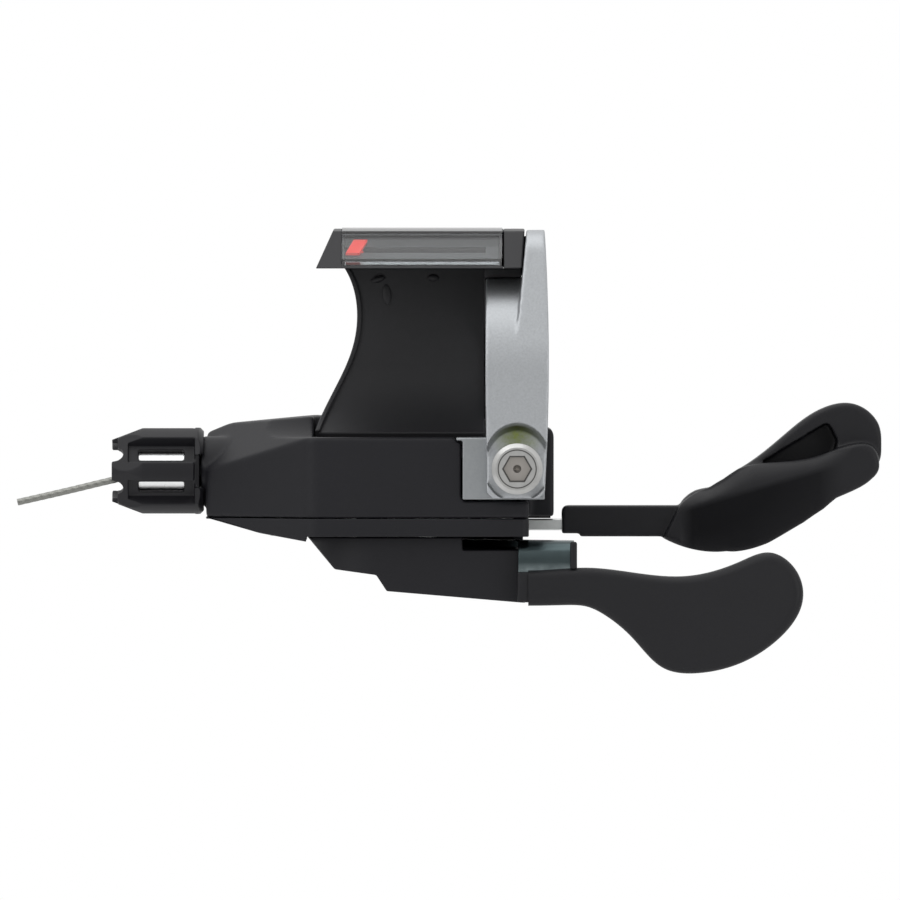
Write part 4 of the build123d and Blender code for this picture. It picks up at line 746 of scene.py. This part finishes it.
def named_mesh(work, name, finish):
    """Object from a bmesh, smooth and finished."""
    for face in work.faces:
        face.smooth = True
    mesh = bpy.data.meshes.new(name)
    work.to_mesh(mesh)
    work.free()
    mesh.materials.append(FINISH[finish])
    made = bpy.data.objects.new(name, mesh)
    scene.collection.objects.link(made)
    return made


def flattened_beads(name, beads, finish):
    """Object of flattened beads, each given by its middle, its half sizes and its lean."""
    work = bmesh.new()
    for place, half, lean in beads:
        turn = Matrix.Rotation(radians(lean), 4, "Y")
        size = Matrix.Diagonal((*(Vector(half) * MM), 1))
        bmesh.ops.create_uvsphere(work, u_segments=32, v_segments=16, radius=1,
                                  matrix=Matrix.Translation(Vector(place) * MM) @ turn @ size)
    return named_mesh(work, name, finish)


def rounded_blocks(name, blocks, rounding, finish):
    """Object of rounded blocks, each given by its middle and its half sizes."""
    work = bmesh.new()
    for place, half in blocks:
        size = Matrix.Diagonal((*(Vector(half) * 2 * MM), 1))
        bmesh.ops.create_cube(work, size=1, matrix=Matrix.Translation(Vector(place) * MM) @ size)
    bmesh.ops.bevel(work, geom=work.edges[:], offset=rounding, segments=4, profile=0.5, affect="EDGES")
    return named_mesh(work, name, finish)


print("beads and blocks are ready")

# %% [markdown]
# They belong to pieces that are already there: pads on the display's wall, a heel and a rim of the thumb
# lever's moulding that hold the bent sheet, and dark blocks that close narrow slits round the band as
# painted shadow. Each is placed one by one and rides with its piece.

# %% Small mouldings
# Middle, half sizes and lean in degrees
WALL_PADS = (((-22.4, 12.3, 13.8), (1.15, 0.75, 0.55), -18), ((-21.0, 12.4, 11.3), (0.75, 0.35, 1.7), -6),
             ((-13.5, 12.4, 14.0), (0.95, 0.5, 0.6), 0))
# Middle and half sizes
THUMB_BLOCKS = (((1.15, -7.85, -35.7), (1.1, 0.75, 2.45)), ((9.1, -7.65, -30.6), (0.55, 1.15, 2.2)))
# Dark blocks that fill narrow slits: painted shadow
SHADOW_FILLER_PLACES = (((-2.1, 2.1, 13.97), (2.75, 0.5, 0.25)), ((-4.55, 14.4, -9.55), (0.65, 0.25, 0.65)),
             ((1.05, 3.0, 17.6), (0.55, 0.4, 3.2)), ((3.55, 22.0, -24.55), (1.95, 0.5, 0.42)))
THUMB_ROUNDING = 0.35 * MM
SHADOW_FILLER_ROUNDING = 0.1 * MM
pads = flattened_beads("stem_pads", WALL_PADS, "stem_lifted_black")
heel_and_rim = rounded_blocks("thumb_heel_and_rim", THUMB_BLOCKS, THUMB_ROUNDING, "lever_black")
shadow_fillers = rounded_blocks("shadow_filler_blocks", SHADOW_FILLER_PLACES, SHADOW_FILLER_ROUNDING, "cover_black")
for piece, node in ((pads, "indicator_stem"), (heel_and_rim, "thumb_pad"), (shadow_fillers, "upper_cover")):
    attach(piece, BODY_OF[node])
    print("moulding", piece.name, len(piece.data.polygons), "faces")

# %% [markdown]
# Inside the display the tray is grey, painted lighter than the dial as painted light against the cavity's
# shade, and only its outside is dark. It is one moulding, so it stays one piece with two finishes: the faces
# that look at the middle of the cavity get the grey one.

# %% Inside of the display
TRAY_HEART = Vector((-15.0, 1.0, 18.8)) * MM
END_WALL = 0.5


def line_cavity(piece, heart, finish):
    """Give a second finish to the faces of a piece that look at a point inside it, and count them."""
    piece.data.materials.append(finish)
    inner = 0
    for face in piece.data.polygons:
        towards = heart - face.center
        if abs(face.normal.x) < END_WALL:
            towards.x = 0
        if towards.dot(face.normal) > 0:
            face.material_index = 1
            inner += 1
    return inner


tray = bpy.data.objects["indicator_tray_skin"]
print("inner faces", line_cavity(tray, TRAY_HEART, FINISH["tray_grey"]))

# %% [markdown]
# The bare cable runs from the spool through the adjuster and out to its cut end, where it bends down a
# little. Its route could be read from the solid, but one smooth curve that a few points guide is shorter
# and has no seams.

# %% Route of the cable
CABLE_D = 1.1 * MM
CABLE_ROUTE = ((-13.408, 14.296, -17.2), (-15.116, 13.5, -17.2), (-17.0, 13.5, -17.2), (-51.3, 13.5, -17.2),
               (-58.5, 13.5, -17.2), (-65.5, 13.5, -18.7), (-73.2, 13.5, -20.6), (-80.8, 13.5, -22.3))


def route_curve(name, points):
    """Curve object of one smooth open spline with those control points, in millimetres."""
    curve = bpy.data.curves.new(name, "CURVE")
    curve.dimensions = "3D"
    curve.resolution_u = 24
    spline = curve.splines.new("NURBS")
    spline.points.add(len(points) - 1)
    for point, place in zip(spline.points, points):
        point.co = (*(Vector(place) * MM), 1)
    spline.order_u = 3
    spline.use_endpoint_u = True
    made = bpy.data.objects.new(name, curve)
    scene.collection.objects.link(made)
    return made


def line_points(curve):
    """Points along a curve, as its own mesh gives them."""
    graph = bpy.context.evaluated_depsgraph_get()
    mesh = bpy.data.meshes.new_from_object(curve.evaluated_get(graph), depsgraph=graph)
    points = [v.co.copy() for v in mesh.vertices]
    bpy.data.meshes.remove(mesh)
    return points


route = route_curve("cable_route", CABLE_ROUTE)
cable_line = line_points(route)
print("cable route of", len(cable_line), "points")

# %% [markdown]
# A Geometry Nodes tree is a recipe for a shape, with named inputs for its sizes. A small class holds one:
# it names the inputs, adds nodes and gives the result back as a plain mesh, because an export drops
# instances and what is still live.

# %% Trees with named inputs


class Tree:
    """Geometry Nodes tree with named inputs."""

    def __init__(self, name, inputs):
        self.tree = bpy.data.node_groups.new(name, "GeometryNodeTree")
        face = self.tree.interface
        face.new_socket("Geometry", in_out="INPUT", socket_type="NodeSocketGeometry")
        self.keys = {label: face.new_socket(label, in_out="INPUT", socket_type=kind).identifier
                     for label, kind in inputs.items()}
        face.new_socket("Geometry", in_out="OUTPUT", socket_type="NodeSocketGeometry")
        self.inlet = self.tree.nodes.new("NodeGroupInput")
        self.outlet = self.tree.nodes.new("NodeGroupOutput")

    def value(self, label):
        """One of the tree's named inputs."""
        return self.inlet.outputs[label]

    def node(self, kind, settings=None, inputs=None, output=0):
        """Add a node: settings, then socket values or links, and give back one of its outputs."""
        made = self.tree.nodes.new(kind)
        for name, value in (settings or {}).items():
            setattr(made, name, value)
        for name, value in (inputs or {}).items():
            if isinstance(value, bpy.types.NodeSocket):
                self.tree.links.new(value, made.inputs[name])
            else:
                made.inputs[name].default_value = value
        return made.outputs[output]

    def math(self, operation, first, second=0.0):
        """One Math node on two sockets or numbers."""
        return self.node("ShaderNodeMath", {"operation": operation}, {0: first, 1: second})

    def finish(self, geometry):
        """End the tree: instances made real and the material set."""
        real = self.node("GeometryNodeRealizeInstances", None, {"Geometry": geometry})
        coat = {"Geometry": real, "Material": self.value("Material")}
        done = self.node("GeometryNodeSetMaterial", None, coat)
        self.tree.links.new(done, self.outlet.inputs["Geometry"])

    def shape(self, piece, **values):
        """Put the tree on a piece with its inputs set, and give the result back as a plain mesh."""
        modifier = piece.modifiers.new(self.tree.name, "NODES")
        modifier.node_group = self.tree
        for label, value in values.items():
            modifier[self.keys[label.replace("_", " ")]] = value
        graph = bpy.context.evaluated_depsgraph_get()
        mesh = bpy.data.meshes.new_from_object(piece.evaluated_get(graph), depsgraph=graph)
        piece.modifiers.clear()
        return mesh


print("trees are ready")

# %% [markdown]
# The cable is steel wires twisted together, drawn here as seven lobes. A tube with a bump would do from
# afar, but its cut end and its outline show the strands. So a tree sweeps a lobed section along the route
# and turns it on the way.

# %% Strand of the cable
CORNERS_PER_WIRE = 8


def strand_tree():
    """Lobed section swept along a curve, turned once in every lay length."""
    tree = Tree("twisted_strand", {"Radius": "NodeSocketFloat", "Groove": "NodeSocketFloat",
                                   "Strands": "NodeSocketInt", "Lay Length": "NodeSocketFloat",
                                   "Spacing": "NodeSocketFloat", "Material": "NodeSocketMaterial"})
    line = tree.node("GeometryNodeResampleCurve", {"mode": "LENGTH"},
                     {"Curve": tree.value("Geometry"), "Length": tree.value("Spacing")})
    along = tree.node("GeometryNodeSplineParameter", None, None, "Length")
    tilt = tree.math("MULTIPLY", tree.math("DIVIDE", along, tree.value("Lay Length")), 2 * pi)
    line = tree.node("GeometryNodeSetCurveTilt", None, {"Curve": line, "Tilt": tilt})
    corners = tree.math("MULTIPLY", tree.value("Strands"), CORNERS_PER_WIRE)
    ring = tree.node("GeometryNodeCurvePrimitiveCircle", {"mode": "RADIUS"},
                     {"Resolution": corners, "Radius": tree.value("Radius")}, "Curve")
    place = tree.node("GeometryNodeInputIndex")
    wave = tree.math("SINE", tree.math("MULTIPLY", place, 2 * pi / CORNERS_PER_WIRE))
    depth = tree.math("MULTIPLY", tree.math("SUBTRACT", wave, 1.0), tree.value("Groove"))
    scale = tree.math("ADD", 1.0, tree.math("DIVIDE", depth, tree.value("Radius")))
    point = tree.node("GeometryNodeInputPosition")
    lobed = tree.node("ShaderNodeVectorMath", {"operation": "SCALE"}, {0: point, "Scale": scale})
    ring = tree.node("GeometryNodeSetPosition", None, {"Geometry": ring, "Position": lobed})
    tube = tree.node("GeometryNodeCurveToMesh", None,
                     {"Curve": line, "Profile Curve": ring, "Fill Caps": True})
    tree.finish(tree.node("GeometryNodeSetShadeSmooth", None, {"Geometry": tube}))
    return tree


strand = strand_tree()
print("strand tree of", len(strand.tree.nodes), "nodes")

# %% [markdown]
# The tree now runs on the route, and its result is the cable that stands for the plain solid. Such a
# cable is stiff, so it is laid taut, and a simulation of its sag would change nothing.

# %% Cable
cable_mesh = strand.shape(route, Radius=CABLE_D / 2, Groove=0.022 * MM, Strands=7, Lay_Length=9.0 * MM,
                          Spacing=0.35 * MM, Material=FINISH["cable_steel"])
bpy.data.objects.remove(route)
cable = bpy.data.objects.new("bare_cable", cable_mesh)
scene.collection.objects.link(cable)
stand_in(cable, "inner_cable")
print("cable", len(cable_mesh.polygons), "faces along", len(cable_line), "points")

# %% [markdown]
# The picture is a product shot on white. The surround is white to the camera only, by the type of its
# rays. What lights the part is a dimmer room, brighter overhead and behind, so that black mouldings keep
# their depth. Metal and glass see it a little brighter still, because they should mirror the white.

# %% Room
ROOM_GREY = 0.62
ROOM_OVERHEAD = 0.30
ROOM_BEHIND = 0.16
ROOM_MIRRORED = 0.12


def studio_room():
    """World: white to the camera, a soft gradient to everything else."""
    world = bpy.data.worlds.new("studio")
    world.use_nodes = True
    start = Field(world.node_tree)
    ways = start.node("ShaderNodeTexCoord", None, None, "Generated")
    rise = ROOM_GREY + axis_of(ways, "Z") * ROOM_OVERHEAD + axis_of(ways, "Y") * ROOM_BEHIND
    seen, mirrored, passed = (start.node("ShaderNodeLightPath", None, None, f"Is {ray} Ray")
                              for ray in ("Camera", "Glossy", "Transmission"))
    light = step_field(rise, 0.0, 1.0) + larger(mirrored, passed) * ROOM_MIRRORED
    start.feed(world.node_tree.nodes["Background"].inputs["Color"], seen + (1 - seen) * light)
    return world


scene.world = studio_room()
print("room is", scene.world.name)

# %% [markdown]
# A floor that is only white would lose the shadow, and a matt one would turn grey. A mix of both, again
# by the type of the ray, stays white in the picture and keeps a faint shadow.

# %% Floor
FLOOR_DROP = 0.100
FLOOR_HALF = 0.3
FLOOR_PALE = (0.85, 0.85, 0.85, 1)
FLOOR_GLOW = 0.9


def floor_finish():
    """Pale matt floor that the camera sees as nearly plain white."""
    material = bpy.data.materials.new("floor_white")
    material.use_nodes = True
    tree = material.node_tree
    tree.nodes.clear()
    start = Field(tree)
    ray = start.node("ShaderNodeLightPath", None, None, "Is Camera Ray")
    matte = start.node("ShaderNodeBsdfDiffuse", None, {"Color": FLOOR_PALE})
    bright = start.node("ShaderNodeEmission", None, {"Color": (1, 1, 1, 1), "Strength": 1.0})
    both = start.node("ShaderNodeMixShader", None, {0: ray * FLOOR_GLOW, 1: matte, 2: bright})
    start.feed(tree.nodes.new("ShaderNodeOutputMaterial").inputs["Surface"], both)
    return material


corners = [(x * FLOOR_HALF, y * FLOOR_HALF, -FLOOR_DROP) for x, y in ((-1, -1), (1, -1), (1, 1), (-1, 1))]
floor_mesh = bpy.data.meshes.new("floor")
floor_mesh.from_pydata(corners, [], [(0, 1, 2, 3)])
floor_mesh.materials.append(floor_finish())
floor = bpy.data.objects.new("floor", floor_mesh)
scene.collection.objects.link(floor)
print("floor lies", FLOOR_DROP / MM, "mm below the bar's axis")

# %% [markdown]
# Three large soft lamps do the rest: a broad one overhead for the upper edges, and two fills from the
# rider's side that draw the long soft highlights along the mouldings.

# %% Lamps


def softbox(name, place, size, power):
    """Square area lamp that looks at the camera's aim."""
    lamp = bpy.data.lights.new(name, "AREA")
    lamp.size = size
    lamp.energy = power
    made = bpy.data.objects.new(name, lamp)
    made.location = place
    made.rotation_euler = (AIM - Vector(place)).to_track_quat("-Z", "Y").to_euler()
    scene.collection.objects.link(made)


softbox("overhead", (-0.15, -0.10, 0.60), size=0.70, power=1.6)
softbox("rider_left", (-0.55, -0.60, 0.30), size=0.50, power=1.6)
softbox("rider_right", (0.55, -0.55, 0.10), size=0.40, power=0.8)
print("lamps:", len(bpy.data.lights))
